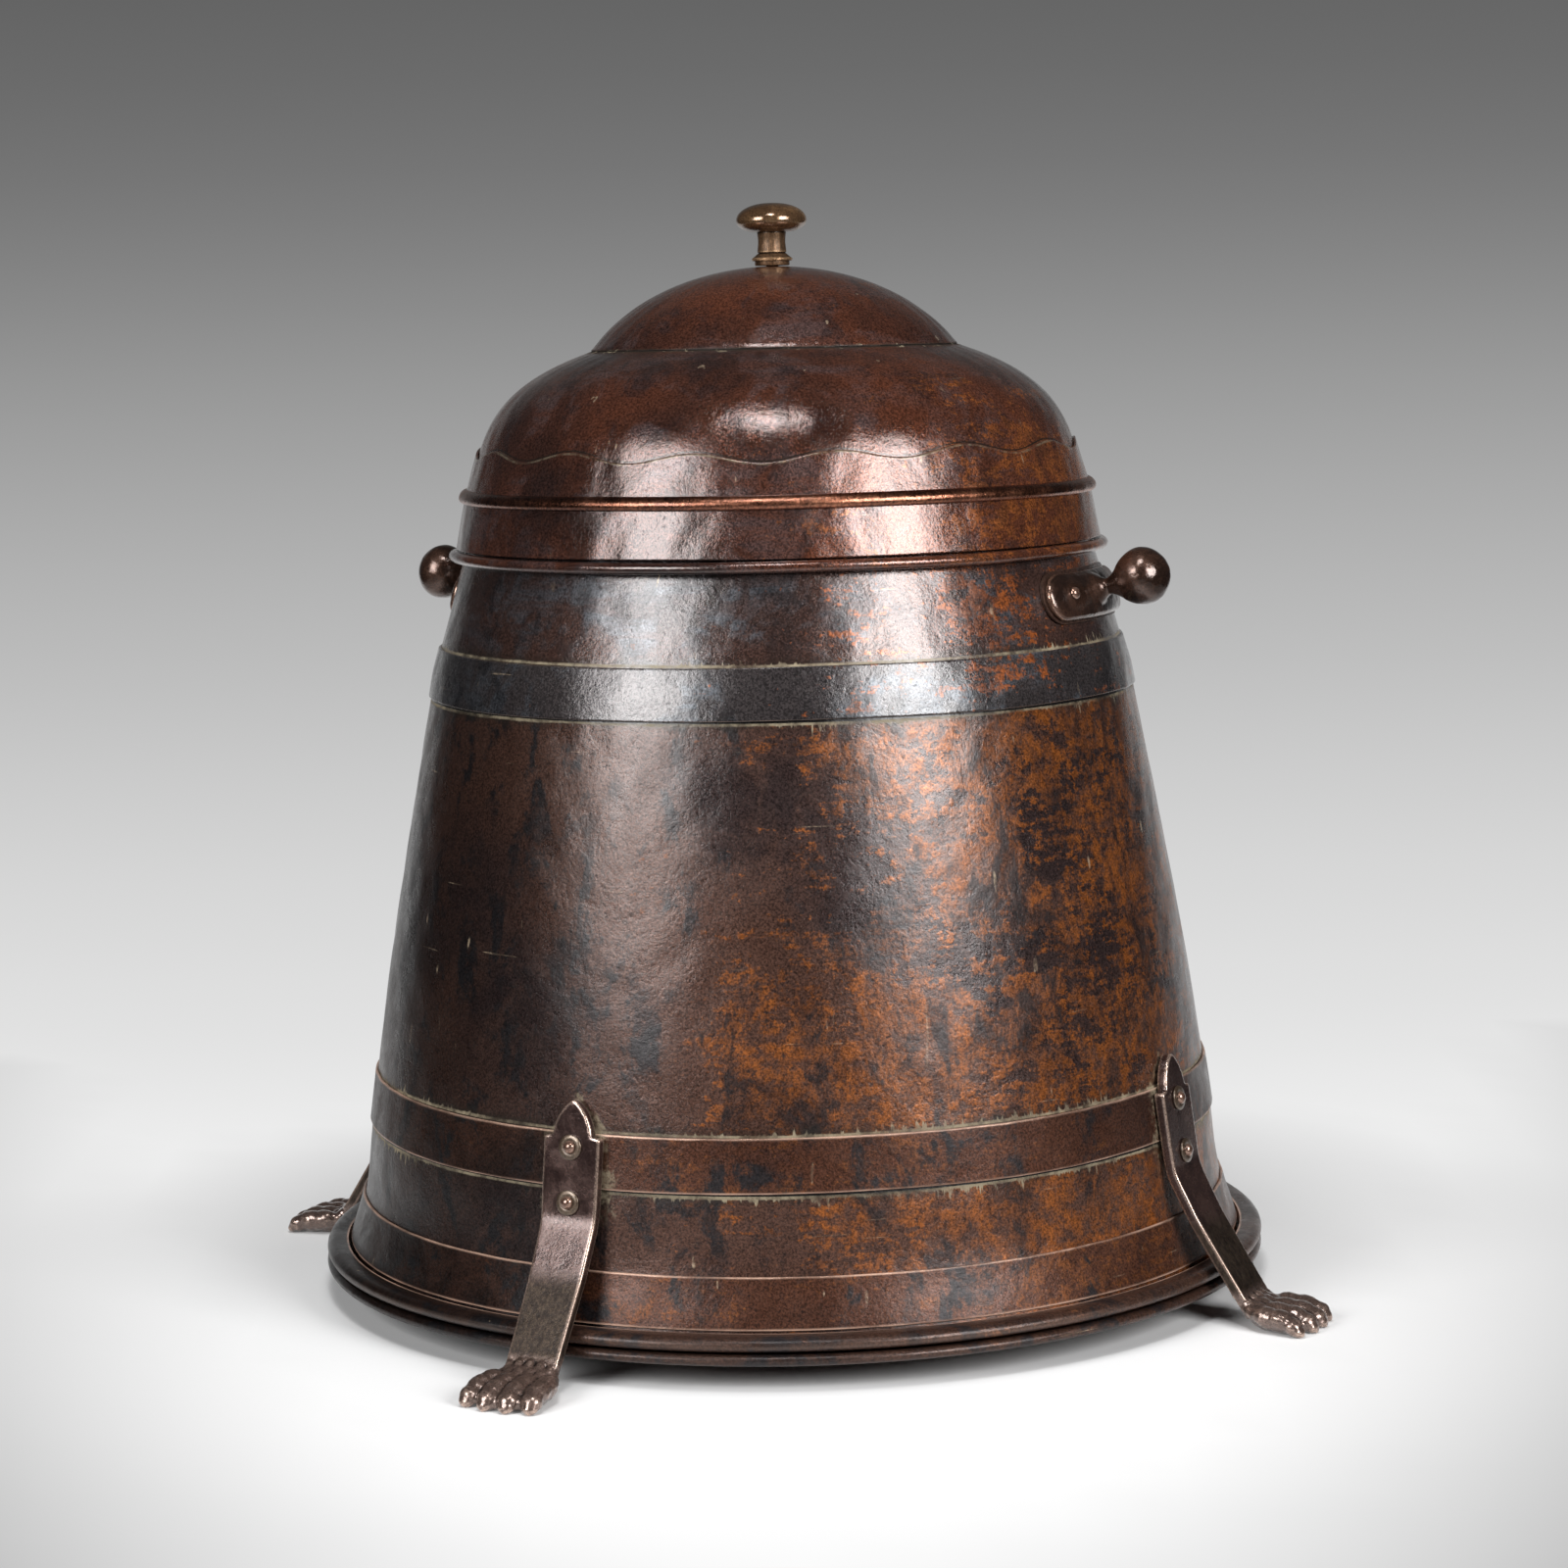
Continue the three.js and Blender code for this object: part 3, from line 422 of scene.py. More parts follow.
def sheet_section(line, thickness):
    """A closed section of sheet whose outer face is a line that runs up; its edges are worn round."""
    line = np.array(line)
    thickness = np.broadcast_to(thickness, len(line))
    run = np.gradient(line, axis=0)
    run /= np.linalg.norm(run, axis=1)[:, None]
    normal = np.stack([run[:, 1], -run[:, 0]], -1)
    inner = line - normal * thickness[:, None]
    turn = np.linspace(0, math.pi, CAP_STEPS + 2)[1:-1]
    caps = []
    for end, way in ((-1, 1), (0, -1)):
        half = thickness[end] / 2
        caps.append(
            (line[end] + inner[end]) / 2
            + np.outer(np.cos(turn) * way * half, normal[end])
            + np.outer(np.sin(turn) * way * min(EDGE_BULGE, half), run[end])
        )
    return np.concatenate([line, caps[0], inner[::-1], caps[1]])


def ring_section(hole, outer, height):
    """A flat ring's section, upwards from zero, with worn edges."""
    worn = min(EDGE_BULGE, height / 3)
    return np.array([
        (hole, 0), (outer - worn, 0), (outer, worn), (outer, height - worn),
        (outer - worn, height), (hole + worn, height), (hole, height - worn),
    ])


def edged_line(offset, bottom, top, step):
    """An upright line with points close to its ends, so that the edges stay crisp."""
    inner = straight_line((offset, bottom + EDGE_INSET), (offset, top - EDGE_INSET), step)
    half = EDGE_INSET / 2
    return np.array([
        (offset, bottom), (offset, bottom + half), *inner, (offset, top - half), (offset, top),
    ])


# Shapes that the frame gives

def low_level(node):
    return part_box(node)[0].z


def high_level(node):
    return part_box(node)[1].z


def middle_level(node):
    return (low_level(node) + high_level(node)) / 2


def across_reach(node):
    """Outer radius of a round node."""
    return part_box(node)[1].x


def ring_radius(node, level):
    """Largest radius of a node's corners at a level."""
    corners = np.array([corner.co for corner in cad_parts[node].data.vertices])
    ring = corners[np.abs(corners[:, 2] - level) < LEVEL_TOUCH]
    return np.hypot(ring[:, 0], ring[:, 1]).max()


drum_bottom, drum_top = low_level("drum_shell"), high_level("drum_shell")
drum_foot_radius = ring_radius("drum_shell", drum_bottom)
drum_top_radius = ring_radius("drum_shell", drum_top)
neck_rim = (ring_radius("neck_shell", high_level("neck_shell")), high_level("neck_shell"))
neck_lean = math.atan((drum_top_radius - neck_rim[0]) / (neck_rim[1] - drum_top))
drum_outline = [
    (between(drum_foot_radius, drum_top_radius, taper), between(drum_bottom, drum_top, height))
    for height, taper in zip(drum_height_shares, drum_taper_shares)
]
wall_line = np.array([*curve_through(drum_outline, WALL_STEP), neck_rim])
cad_wall_line = np.array([*drum_outline, neck_rim])


def wall_radius(level, line=wall_line):
    """Outer radius of the bin's wall at a level."""
    return np.interp(level, line[:, 1], line[:, 0])


def cad_wall_radius(level):
    """Outer radius of the faceted wall, which the feet and handles sit on."""
    return float(wall_radius(level, cad_wall_line))


def wave_field(seed, turns, rise, count=DENT_WAVES):
    """A smooth field round the axis, about -1 to 1, the same each time for a seed."""
    draw = np.random.default_rng(seed)
    round_turns = draw.integers(turns[0], turns[1], count)
    rises = draw.uniform(-1, 1, count) * FULL_TURN / rise
    phases = draw.uniform(0, FULL_TURN, count)

    def value(angle, level):
        total = np.zeros(np.broadcast(angle, level).shape)
        for turn, climb, phase in zip(round_turns, rises, phases):
            total += np.cos(turn * angle + climb * level + phase)
        return np.tanh(total / math.sqrt(count))

    return value


wall_dents = wave_field(WALL_SEEDS[0], DENT_TURNS, DENT_RISE)
wall_waver = wave_field(WALL_SEEDS[1], WALL_WAVER_TURNS, WAVER_RISE)
lid_dents = wave_field(LID_SEEDS[0], DENT_TURNS, DENT_RISE)
lid_waver = wave_field(LID_SEEDS[1], LID_WAVER_TURNS, WAVER_RISE)


def turned(azimuth, distance, height):
    """A place round the bin, counted in degrees from the front."""
    angle = math.radians(azimuth)
    return Vector((distance * math.sin(angle), -distance * math.cos(angle), height))


def turn_to(place):
    """Turns what is made on the +X side to a place, in degrees from the front."""
    return Matrix.Rotation(math.radians(place) - QUARTER_TURN, 4, "Z")


def seat_matrix(radius, level, lean, place):
    """Takes +Z to the way out of the wall at a place."""
    tipped = Matrix.Rotation(QUARTER_TURN - lean, 4, "Y")
    return turn_to(place) @ Matrix.Translation((radius, 0, level)) @ tipped


# Node graphs

COAT_INDEX = 1.58
BASE_SHEEN = 0.15


class Field:
    """A value in a node graph, for sums and products."""

    def __init__(self, graph, socket):
        self.graph, self.socket = graph, socket

    def __add__(self, other):
        return self.graph.calc("ADD", self, other)

    def __sub__(self, other):
        return self.graph.calc("SUBTRACT", self, other)

    def __rsub__(self, other):
        return self.graph.calc("SUBTRACT", other, self)

    def __mul__(self, other):
        return self.graph.calc("MULTIPLY", self, other)

    def __truediv__(self, other):
        return self.graph.calc("DIVIDE", self, other)

    def __abs__(self):
        return self.graph.calc("ABSOLUTE", self)

    __radd__ = __add__
    __rmul__ = __mul__


class Graph:
    """Short names for the nodes that the materials use."""

    def __init__(self, name):
        self.material = bpy.data.materials.new(name)
        self.material.use_nodes = True
        self.tree = self.material.node_tree
        self.place = self.add("TexCoord").outputs["Object"]

    def add(self, kind, **settings):
        node = self.tree.nodes.new("ShaderNode" + kind)
        for key, value in settings.items():
            setattr(node, key, value)
        return node

    def join(self, value, socket):
        value = value.socket if isinstance(value, Field) else value
        if isinstance(value, bpy.types.NodeSocket):
            self.tree.links.new(value, socket)
        else:
            socket.default_value = value

    def field(self, kind, values, output=0, **settings):
        """The output of a new node whose inputs take the given values."""
        node = self.add(kind, **settings)
        for key, value in values.items():
            self.join(value, node.inputs[key])
        return Field(self, node.outputs[output])

    def calc(self, operation, *values):
        return self.field("Math", dict(enumerate(values)), operation=operation)

    def most(self, first, second):
        return self.calc("MAXIMUM", first, second)

    def step(self, value, low, high, start=0, end=1):
        """Goes smoothly from start to end while the value goes from low to high."""
        values = {"Value": value, "From Min": low, "From Max": high, "To Min": start, "To Max": end}
        return self.field("MapRange", values, "Result", interpolation_type="SMOOTHSTEP")

    def stretch(self, scale, turn=(0, 0, 0)):
        return self.field("Mapping", {"Vector": self.place, "Scale": scale, "Rotation": turn})

    def noise(self, scale, detail=4, roughness=0.6, distortion=0, place=None):
        values = {"Scale": scale, "Detail": detail, "Roughness": roughness, "Distortion": distortion}
        return self.field("TexNoise", {"Vector": place or self.place, **values}, "Fac")

    def mix(self, share, first, second, blend="MIX"):
        node = self.add("Mix", data_type="RGBA", blend_type=blend)
        self.join(share, node.inputs["Factor"])
        colors = [socket for socket in node.inputs if socket.type == "RGBA"]
        for value, socket in zip((first, second), colors):
            self.join((*value, 1) if isinstance(value, tuple) else value, socket)
        return Field(self, [socket for socket in node.outputs if socket.type == "RGBA"][0])

    def grey(self, value):
        return self.field("CombineColor", dict.fromkeys(range(3), value))

    def dimmed(self, color, value):
        return self.mix(1.0, color, self.grey(value), "MULTIPLY")

    def wave(self, turn, turns, start):
        return self.calc("COSINE", turn * turns + start)

    def vector(self, operation, other):
        return self.field("VectorMath", {0: self.place, 1: tuple(other)}, "Value", operation=operation)

    def dot(self, direction):
        return self.vector("DOT_PRODUCT", direction)

    def spot(self, place, radius):
        """1 at a place, fading to 0 at a radius from it."""
        return self.step(self.vector("DISTANCE", place), 0, radius, 1, 0)

    def axis(self, name):
        return self.field("SeparateXYZ", {0: self.place}, name)

    def facing_up(self):
        return self.field("SeparateXYZ", {0: self.add("NewGeometry").outputs["Normal"]}, "Z")

    def attribute(self, name):
        return self.field("Attribute", {}, "Fac", attribute_name=name)

    def bumps(self, *layers):
        """Normals bumped by layers of height, strength and depth."""
        below = {}
        for height, strength, depth in layers:
            values = {"Height": height, "Strength": strength, "Distance": depth, **below}
            below = {"Normal": self.field("Bump", values)}
        return below["Normal"]

    def finish(self, color, roughness, normal, metallic, coat, coat_roughness):
        values = {
            "Base Color": color, "Roughness": roughness, "Normal": normal, "Metallic": metallic,
            "Coat Weight": coat, "Coat Roughness": coat_roughness, "Coat Normal": normal,
            "Coat IOR": COAT_INDEX, "Specular IOR Level": BASE_SHEEN,
        }
        for key, value in values.items():
            self.join(value, self.tree.nodes["Principled BSDF"].inputs[key])
        return self.material


# How far dirt reaches from a seam, a crease, the lid's scalloped edge and the feet's straps; also painted
# shadow under a band and painted shadow and highlight at the scalloped edge
SEAM_DIRT = 0.0021
SEAM_SHADOW = 0.0009
SEAM_BRUSH = 0.008
SEAM_GRIME = 0.006
CREASE_DIRT = 0.0016
EDGE_SHADE_AND_DIRT = 0.0006
HALO_REACH = 0.009

# Depths of the bumps in copper and in bronze
CLOUD_DEPTH, MOTTLE_DEPTH, FINE_DEPTH, SCRATCH_DEPTH = 0.0008, 0.0007, 0.00025, 0.0001
CAST_CLOUD_DEPTH, BRUSHED_DEPTH, CAST_FINE_DEPTH = 0.0005, 0.00025, 0.00018

# A casting's matt part fades out over these lengths: below and above its upper level, and at its lower one
MATT_FADE_BELOW, MATT_FADE_ABOVE, MATT_FADE_LOW = 0.005, 0.006, 0.005
MATT_STRAP_DROP = 0.036
MATT_KNOB_DROP = 0.0135

# Colours, as they are in plain light; grime, residue, rubbed copper and soot also serve for painted shade
# and highlights
STAIN = (0.012, 0.012, 0.014)
SLATE = (0.068, 0.076, 0.088)
SCRATCH = (0.5, 0.38, 0.26)
# Rubbed copper, also used as a painted highlight on edges that face up
RUBBED_AND_HIGHLIGHT = (0.62, 0.4, 0.3)
# Grime, also used for the painted shadow above the lid's scalloped edge
GRIME_AND_SHADE = (0.022, 0.017, 0.013)
# Residue, also used for the painted highlight on the lid's scalloped edge
RESIDUE_AND_HIGHLIGHT = (0.28, 0.235, 0.16)
# Soot inside the sheets, also used for the painted shadow under a band's lower edge
SOOT_AND_SHADOW = (0.012, 0.0105, 0.01)
HOLLOW = (0.008, 0.006, 0.005)

# What a copper has unless it says otherwise
copper_defaults = {
    "warm_pull": (0, 0, 0), "warm_spots": (), "dark_side": None, "slate": 0.0, "stain": 0.6,
    "seams": (), "creases": (), "straps": False, "edge": False, "worn_from": 0.38,
    "gloss": (0.17, 0.36), "coat": 1.0, "dull": (0.0, 0.0, 1.0), "metal": 0.4,
}


def near_levels(graph, levels, width, ragged):
    """1 on the given levels, fading to 0 at a ragged width from them."""
    reach = ragged * width + width / 2
    result = 0.0
    for level in levels:
        result = graph.most(graph.step(abs(graph.axis("Z") - level) / reach, 0, 1, 1, 0), result)
    return result


def beyond_level(graph, level, way, reach):
    """1 just above (way 1) or below (way -1) a level, fading to 0 at a reach from it."""
    apart = (graph.axis("Z") - level) * way
    return graph.step(apart / reach, 0.5, 1, 1, 0) * graph.calc("GREATER_THAN", apart, 0)


def beside_straps(graph):
    """1 on the wall close beside and above the feet's straps, ragged and fading away from them."""
    height = graph.axis("Z")
    low, high = low_level("hoop_band"), high_level("foot_front")
    half = graph.step(height, high - LEAF_HEIGHT, high, STRAP_WIDTH / 2, 0)
    ragged = graph.noise(90, 5, 0.7, 0, graph.stretch((1.6, 1.6, 0.7), (0.2, 0.1, 0)))
    reach = graph.step(ragged, 0.45, 0.68, HALO_REACH / 6, HALO_REACH)
    result = 0.0
    for place in FOOT_PLACES.values():
        outside = graph.most(abs(graph.dot(turned(place + 90, 1, 0))) - half, height - high)
        same_side = graph.calc("GREATER_THAN", graph.dot(turned(place, 1, 0)), 0)
        result = graph.most(graph.step(outside / reach, 0.4, 1, 1, 0) * same_side, result)
    return result * graph.step(height, low - 2 * HALO_REACH, low - HALO_REACH / 2)


def above_scallops(graph):
    """How far a place lies above the skirt's scalloped edge."""
    turn = graph.calc("ARCTAN2", graph.axis("Y"), graph.axis("X"))
    middle = high_level("lid_skirt") - WAVE_HEIGHT / 2 - len(WAVE_UNEVEN_TURNS) * WAVE_UNEVENNESS
    edge = graph.wave(turn, WAVE_COUNT, 0) * (WAVE_HEIGHT / 2)
    for turns, start in WAVE_UNEVEN_TURNS:
        edge = edge + graph.wave(turn, turns, start) * WAVE_UNEVENNESS
    return graph.axis("Z") - middle - edge


def aged_copper(name, dark, middle, warm, warm_from, **changes):
    """Old waxed copper: dark patina, ragged warm patches, stains, scratches, dirt at the seams, and
    painted shade and highlights.
    """
    look = {**copper_defaults, **changes}
    graph = Graph(name)
    noise_at, step, mix, stretch = graph.noise, graph.step, graph.mix, graph.stretch
    broad = noise_at(7, 3, 0.5)
    cloud = noise_at(26, 7, 0.66, 0.8)
    mottle = noise_at(130, 6, 0.74)
    fine = noise_at(430, 4, 0.72)
    grain = noise_at(1000, 2, 0.7)
    rubbed = noise_at(20, 7, 0.68, 0.3, stretch((1, 1, 7)))
    streaked = noise_at(55, 5, 0.7, 0.2, stretch((1, 1, 5), (0.04, 0.05, 0)))
    running = noise_at(30, 6, 0.66, 0.6, stretch((1.5, 1.5, 0.8), (0.25, 0.2, 0)))

    # Patina with warm patches, stains and pits
    warmth = broad * 0.8 + cloud * 0.7 + mottle * 0.7 + rubbed * 0.6 + streaked * 0.6
    warmth = warmth + running * 0.5 + fine * 0.6 + graph.dot(look["warm_pull"])
    for place, radius, gain in look["warm_spots"]:
        warmth = warmth + graph.spot(place, radius) * gain
    color = mix(step(broad, 0.4, 0.6), dark, middle)
    color = mix(step(cloud, 0.42, 0.6, 0, 0.5), color, middle)
    # Painted shade towards the left side, where less light falls; it also thins the slate patches and the
    # coat there
    shade = 1.0
    if look["dark_side"]:
        direction, begin, full, left_share = look["dark_side"]
        shade = step(graph.dot(direction), begin, full, 1, left_share)
    slate = step(cloud, 0.47, 0.58) * step(rubbed, 0.42, 0.58, 0.3, 1) * shade
    color = mix(slate * look["slate"], color, SLATE)
    patch = mix(step(mottle, 0.38, 0.62), middle, warm)
    color = mix(step(warmth, warm_from, warm_from + 0.13), color, patch)
    stains = step(mottle * 0.5 + running, 0.75, 0.86) * step(cloud, 0.38, 0.55, 0.2, look["stain"])
    color = mix(stains, color, STAIN)
    pits = step(fine, 0.32, 0.42, 1, 0)
    color = mix(pits * 0.5, color, STAIN)
    color = graph.dimmed(color, step(grain, 0.3, 0.7, 0.45, 1.65))
    # Painted shade: the colour darkens towards the left side
    if look["dark_side"]:
        color = graph.dimmed(color, shade)

    # Scratches, and rubbed edges that are also a painted highlight where they face up
    upright = noise_at(60, 2, 0.5, 0, stretch((3, 3, 0.16), (0.12, -0.2, 0.4)))
    across = noise_at(60, 2, 0.5, 0, stretch((0.3, 0.3, 7), (0.1, 0.06, 0)))
    scratch = graph.most(step(upright, 0.735, 0.76), step(across, 0.735, 0.77, 0, 0.8))
    scratch = scratch * step(mottle, 0.45, 0.6, 0.1, 0.6)
    color = mix(scratch, color, SCRATCH)
    wear = step(graph.attribute("wear"), look["worn_from"], look["worn_from"] + 0.47)
    # Painted highlight with the wear: the pale rubbed colour goes only on edges that face up, where light
    # catches them
    wear = wear * step(rubbed, 0.35, 0.6, 0.25, 1) * step(graph.facing_up(), -0.6, -0.1, 0.1, 1)
    color = mix(wear, color, RUBBED_AND_HIGHLIGHT)

    # Dirt in creases, at seams, beside the straps and at the lid's edge, painted shadow under bands,
    # painted shadow and highlight at the lid's edge, and soot inside
    dirt = 0.0
    if look["creases"]:
        dirt = near_levels(graph, look["creases"], CREASE_DIRT, running)
        color = mix(dirt, color, GRIME_AND_SHADE)
        color = mix(dirt * step(noise_at(260, 3, 0.6), 0.6, 0.66), color, RESIDUE_AND_HIGHLIGHT)
    if look["seams"]:
        grime = near_levels(graph, [level for level, _ in look["seams"]], SEAM_GRIME, running)
        color = mix(grime * step(cloud, 0.35, 0.6, 0.3, 0.85), color, GRIME_AND_SHADE)
        brush = noise_at(150, 3, 0.6, 0, stretch((3, 3, 0.3), (0.1, -0.12, 0)))
        marks = step(brush, 0.5, 0.75) * step(noise_at(9, 3, 0.6), 0.45, 0.62)
        reach = marks * SEAM_BRUSH + cloud * SEAM_DIRT + SEAM_DIRT / 4
        for level, way in look["seams"]:
            # Painted shadow: a near-black line just under a band's lower edge, with the residue starting
            # below it
            gap = SEAM_SHADOW if way < 0 else 0
            if gap:
                color = mix(beyond_level(graph, level, way, 2 * gap), color, SOOT_AND_SHADOW)
            dirt = graph.most(beyond_level(graph, level + way * gap, way, reach), dirt)
        dirt = dirt * step(noise_at(22, 6, 0.7), 0.36, 0.56, 0.1, 1) * step(mottle, 0.36, 0.6, 0.35, 0.95)
        color = mix(dirt, color, RESIDUE_AND_HIGHLIGHT)
    if look["straps"]:
        halo = beside_straps(graph) * step(mottle, 0.42, 0.6, 0.05, 0.7) * step(fine, 0.36, 0.56, 0.2, 1)
        color = mix(halo, color, RESIDUE_AND_HIGHLIGHT)
        dirt = graph.most(dirt, halo)
    # Painted shadow with dirt in a dark line just above the scalloped edge, and painted highlight with
    # residue in a pale line on it
    if look["edge"]:
        above = above_scallops(graph)
        line = step(abs(above - EDGE_SHADE_AND_DIRT), 0, EDGE_SHADE_AND_DIRT, 1, 0)
        color = mix(line * step(cloud, 0.3, 0.5, 0.6, 1), color, GRIME_AND_SHADE)
        rim = step(abs(above + EDGE_SHADE_AND_DIRT), EDGE_SHADE_AND_DIRT / 2, EDGE_SHADE_AND_DIRT, 1, 0)
        color = mix(rim * step(mottle, 0.42, 0.6, 0.08, 0.5), color, RESIDUE_AND_HIGHLIGHT)
    soot = graph.attribute("soot") * step(cloud, 0.3, 0.6, 0.97, 0.75)
    color = mix(soot, color, SOOT_AND_SHADOW)

    # Wax coat, duller below, and the metal under it
    dull_level, bright_level, dull_share = look["dull"]
    polish = step(graph.axis("Z"), dull_level, bright_level, dull_share, 1) if bright_level else 1.0
    foul = graph.most(soot, dirt)
    coat_roughness = step(cloud, 0.3, 0.7, *look["gloss"]) + (mottle - 0.5) * 0.25 + (fine - 0.5) * 0.15
    coat_roughness = coat_roughness + (1.0 - polish) * 0.08
    roughness = coat_roughness + 0.09 + dirt * 0.4
    coat = polish * look["coat"] * step(foul, 0, 1, 1, 0.1) * step(pits, 0, 1, 1, 0.4)
    coat = coat * (shade * 0.6 + 0.4)
    normal = graph.bumps(
        (cloud, 0.3, CLOUD_DEPTH), (mottle, 0.4, MOTTLE_DEPTH), (fine, 0.5, FINE_DEPTH),
        (scratch, 0.3, SCRATCH_DEPTH),
    )
    metallic = foul * -look["metal"] + look["metal"]
    return graph.finish(color, roughness, normal, metallic, coat, coat_roughness)


def pull(azimuth, aside, up):
    """A direction in which warm patches grow: to a side, in degrees from the front, and upwards."""
    return tuple(turned(azimuth, aside, up))


# Seams of the bands: level, and the side on which dirt gathers; under a lower edge (side -1) a painted
# shadow too
wall_seams = [(low_level("hoop_band"), -1), (high_level("hoop_band"), 1)]
band_seams = [(low_level("upper_band"), -1), (high_level("upper_band"), 1)]

# Painted shade on the left, where less light falls: a direction, where the shade starts and is full, and
# what is left
painted_left_shade = (pull(-75, 1, 0), 0.0, 0.19, 0.25)
painted_upper_left_shade = (pull(-75, 1, 0), 0.04, 0.17, 0.35)

# The drum's coat is duller low down: levels where it begins to gain and has all its polish, and the least
drum_dull = (0.07, 0.42, 0.42)

# Places with more warm patches than the rest: middle, radius and gain
drum_warm_spots = [(turned(40, 0.22, 0.15), 0.14, 0.14), (turned(50, 0.18, 0.31), 0.14, 0.24)]
lid_warm_spots = [(turned(85, 0.17, high_level("lid_skirt")), 0.1, 0.2)]

drum_copper = aged_copper(
    "drum_copper", (0.03, 0.019, 0.018), (0.07, 0.034, 0.024), (0.21, 0.063, 0.013), 2.59,
    warm_pull=pull(95, 2.6, 0.25), warm_spots=drum_warm_spots, dark_side=painted_left_shade, stain=0.9, straps=True,
    seams=wall_seams + band_seams[:1], gloss=(0.12, 0.26), coat=0.85, dull=drum_dull, metal=0.35,
)
neck_copper = aged_copper(
    "neck_copper", (0.03, 0.021, 0.02), (0.062, 0.032, 0.025), (0.33, 0.088, 0.02), 2.54,
    warm_pull=pull(85, 1.45, 0.0), dark_side=painted_upper_left_shade, slate=0.8,
    seams=band_seams[1:], gloss=(0.08, 0.22),
)
hoop_copper = aged_copper(
    "hoop_copper", (0.026, 0.014, 0.011), (0.067, 0.026, 0.015), (0.13, 0.043, 0.013), 2.42,
    warm_pull=pull(45, 0.45, 0.0), dark_side=painted_left_shade, stain=0.95, straps=True, worn_from=0.1,
    gloss=(0.2, 0.36), coat=0.22,
)
lid_copper = aged_copper(
    "lid_copper", (0.037, 0.017, 0.013), (0.115, 0.037, 0.019), (0.26, 0.08, 0.022), 2.54,
    warm_pull=pull(85, 1.4, 0.0), warm_spots=lid_warm_spots, slate=0.35, stain=0.5, gloss=(0.06, 0.18),
    coat=0.95, edge=True, metal=0.5, worn_from=0.9, creases=[high_level("lid_shoulder")],
)
band_copper = aged_copper(
    "band_copper", (0.024, 0.021, 0.021), (0.05, 0.042, 0.042), (0.33, 0.09, 0.022), 2.58,
    warm_pull=pull(85, 1.7, 0.0), dark_side=painted_upper_left_shade, slate=1.0, gloss=(0.08, 0.22),
)
base_copper = aged_copper(
    "base_copper", (0.022, 0.013, 0.011), (0.052, 0.026, 0.018), (0.18, 0.07, 0.03), 2.5,
    dark_side=painted_left_shade, stain=0.9, gloss=(0.2, 0.36), coat=0.3,
)
plate_copper = aged_copper(
    "plate_copper", (0.026, 0.017, 0.014), (0.055, 0.029, 0.021), (0.1, 0.05, 0.03), 2.7,
    stain=0.5, worn_from=0.9, gloss=(0.16, 0.3), coat=0.6,
)
bead_copper = aged_copper(
    "bead_copper", (0.17, 0.062, 0.034), (0.32, 0.12, 0.065), (0.42, 0.17, 0.09), 2.3,
    stain=0.3, gloss=(0.14, 0.26), metal=1.0, coat=0.5,
)


def cast_bronze(name, dark, pale, high, gloss, matt_below=None, matt_color=None, matt_above=0.0):
    """Old cast bronze: dark hollows, rubbed high places and brush marks, matt between two levels."""
    graph = Graph(name)
    step, mix = graph.step, graph.mix
    cloud = graph.noise(60, 6, 0.65, 0.4)
    brushed = graph.noise(110, 5, 0.7, 0, graph.stretch((5, 5, 0.7), (0.2, 0.1, 0)))
    fine = graph.noise(600, 4, 0.7)
    grain = graph.noise(1700, 2, 0.7)
    color = mix(step(cloud, 0.38, 0.62), dark, pale)
    roughness = step(cloud, 0.3, 0.7, gloss, gloss + 0.2)
    coat, bare, brush_strength = 0.8, 1.0, 0.06
    if matt_below:
        height = graph.axis("Z")
        low = (height, matt_above, matt_above + MATT_FADE_LOW)
        matt = step(height, matt_below - MATT_FADE_BELOW, matt_below + MATT_FADE_ABOVE, 1, 0)
        matt = matt * step(*low, 0.12, 1)
        brushed_color = mix(step(brushed, 0.4, 0.6), matt_color, tuple(3.4 * part for part in matt_color))
        color = mix(matt * 0.85, color, brushed_color)
        color = mix(step(*low, 0.2, 0), color, high)
        roughness = matt * 0.2 + roughness
        coat = step(matt, 0, 1, 0.9, 0.25)
        bare = matt * -0.4 + 1
        brush_strength = matt * 0.3 + 0.06
    wear = graph.attribute("wear")
    color = mix(step(wear, 0.1, 0.5, 0, 0.9) * bare, color, high)
    color = mix(step(wear, -0.06, -0.45, 0, 0.9), color, HOLLOW)
    color = graph.dimmed(color, step(grain, 0.28, 0.72, 0.5, 1.6))
    roughness = step(wear, 0.1, 0.7) * -0.1 + roughness
    normal = graph.bumps(
        (cloud, 0.3, CAST_CLOUD_DEPTH), (brushed, brush_strength, BRUSHED_DEPTH),
        (fine, 0.4, CAST_FINE_DEPTH),
    )
    return graph.finish(color, roughness, normal, 0.7, coat, roughness - 0.08)


foot_bronze = cast_bronze(
    "foot_bronze", (0.055, 0.032, 0.029), (0.085, 0.047, 0.039), (0.5, 0.36, 0.29), 0.14,
    low_level("hoop_band") - MATT_STRAP_DROP, (0.014, 0.01, 0.0065), PAW_HEIGHT,
)
handle_bronze = cast_bronze(
    "handle_bronze", (0.04, 0.022, 0.016), (0.09, 0.045, 0.03), (0.34, 0.19, 0.13), 0.14,
)
knob_brass = cast_bronze(
    "knob_brass", (0.13, 0.07, 0.035), (0.3, 0.17, 0.08), (0.6, 0.38, 0.21), 0.12,
    high_level("lid_knob") - MATT_KNOB_DROP, (0.04, 0.022, 0.012),
)
rivet_copper = cast_bronze(
    "rivet_copper", (0.06, 0.03, 0.02), (0.13, 0.066, 0.045), (0.32, 0.19, 0.14), 0.1,
)
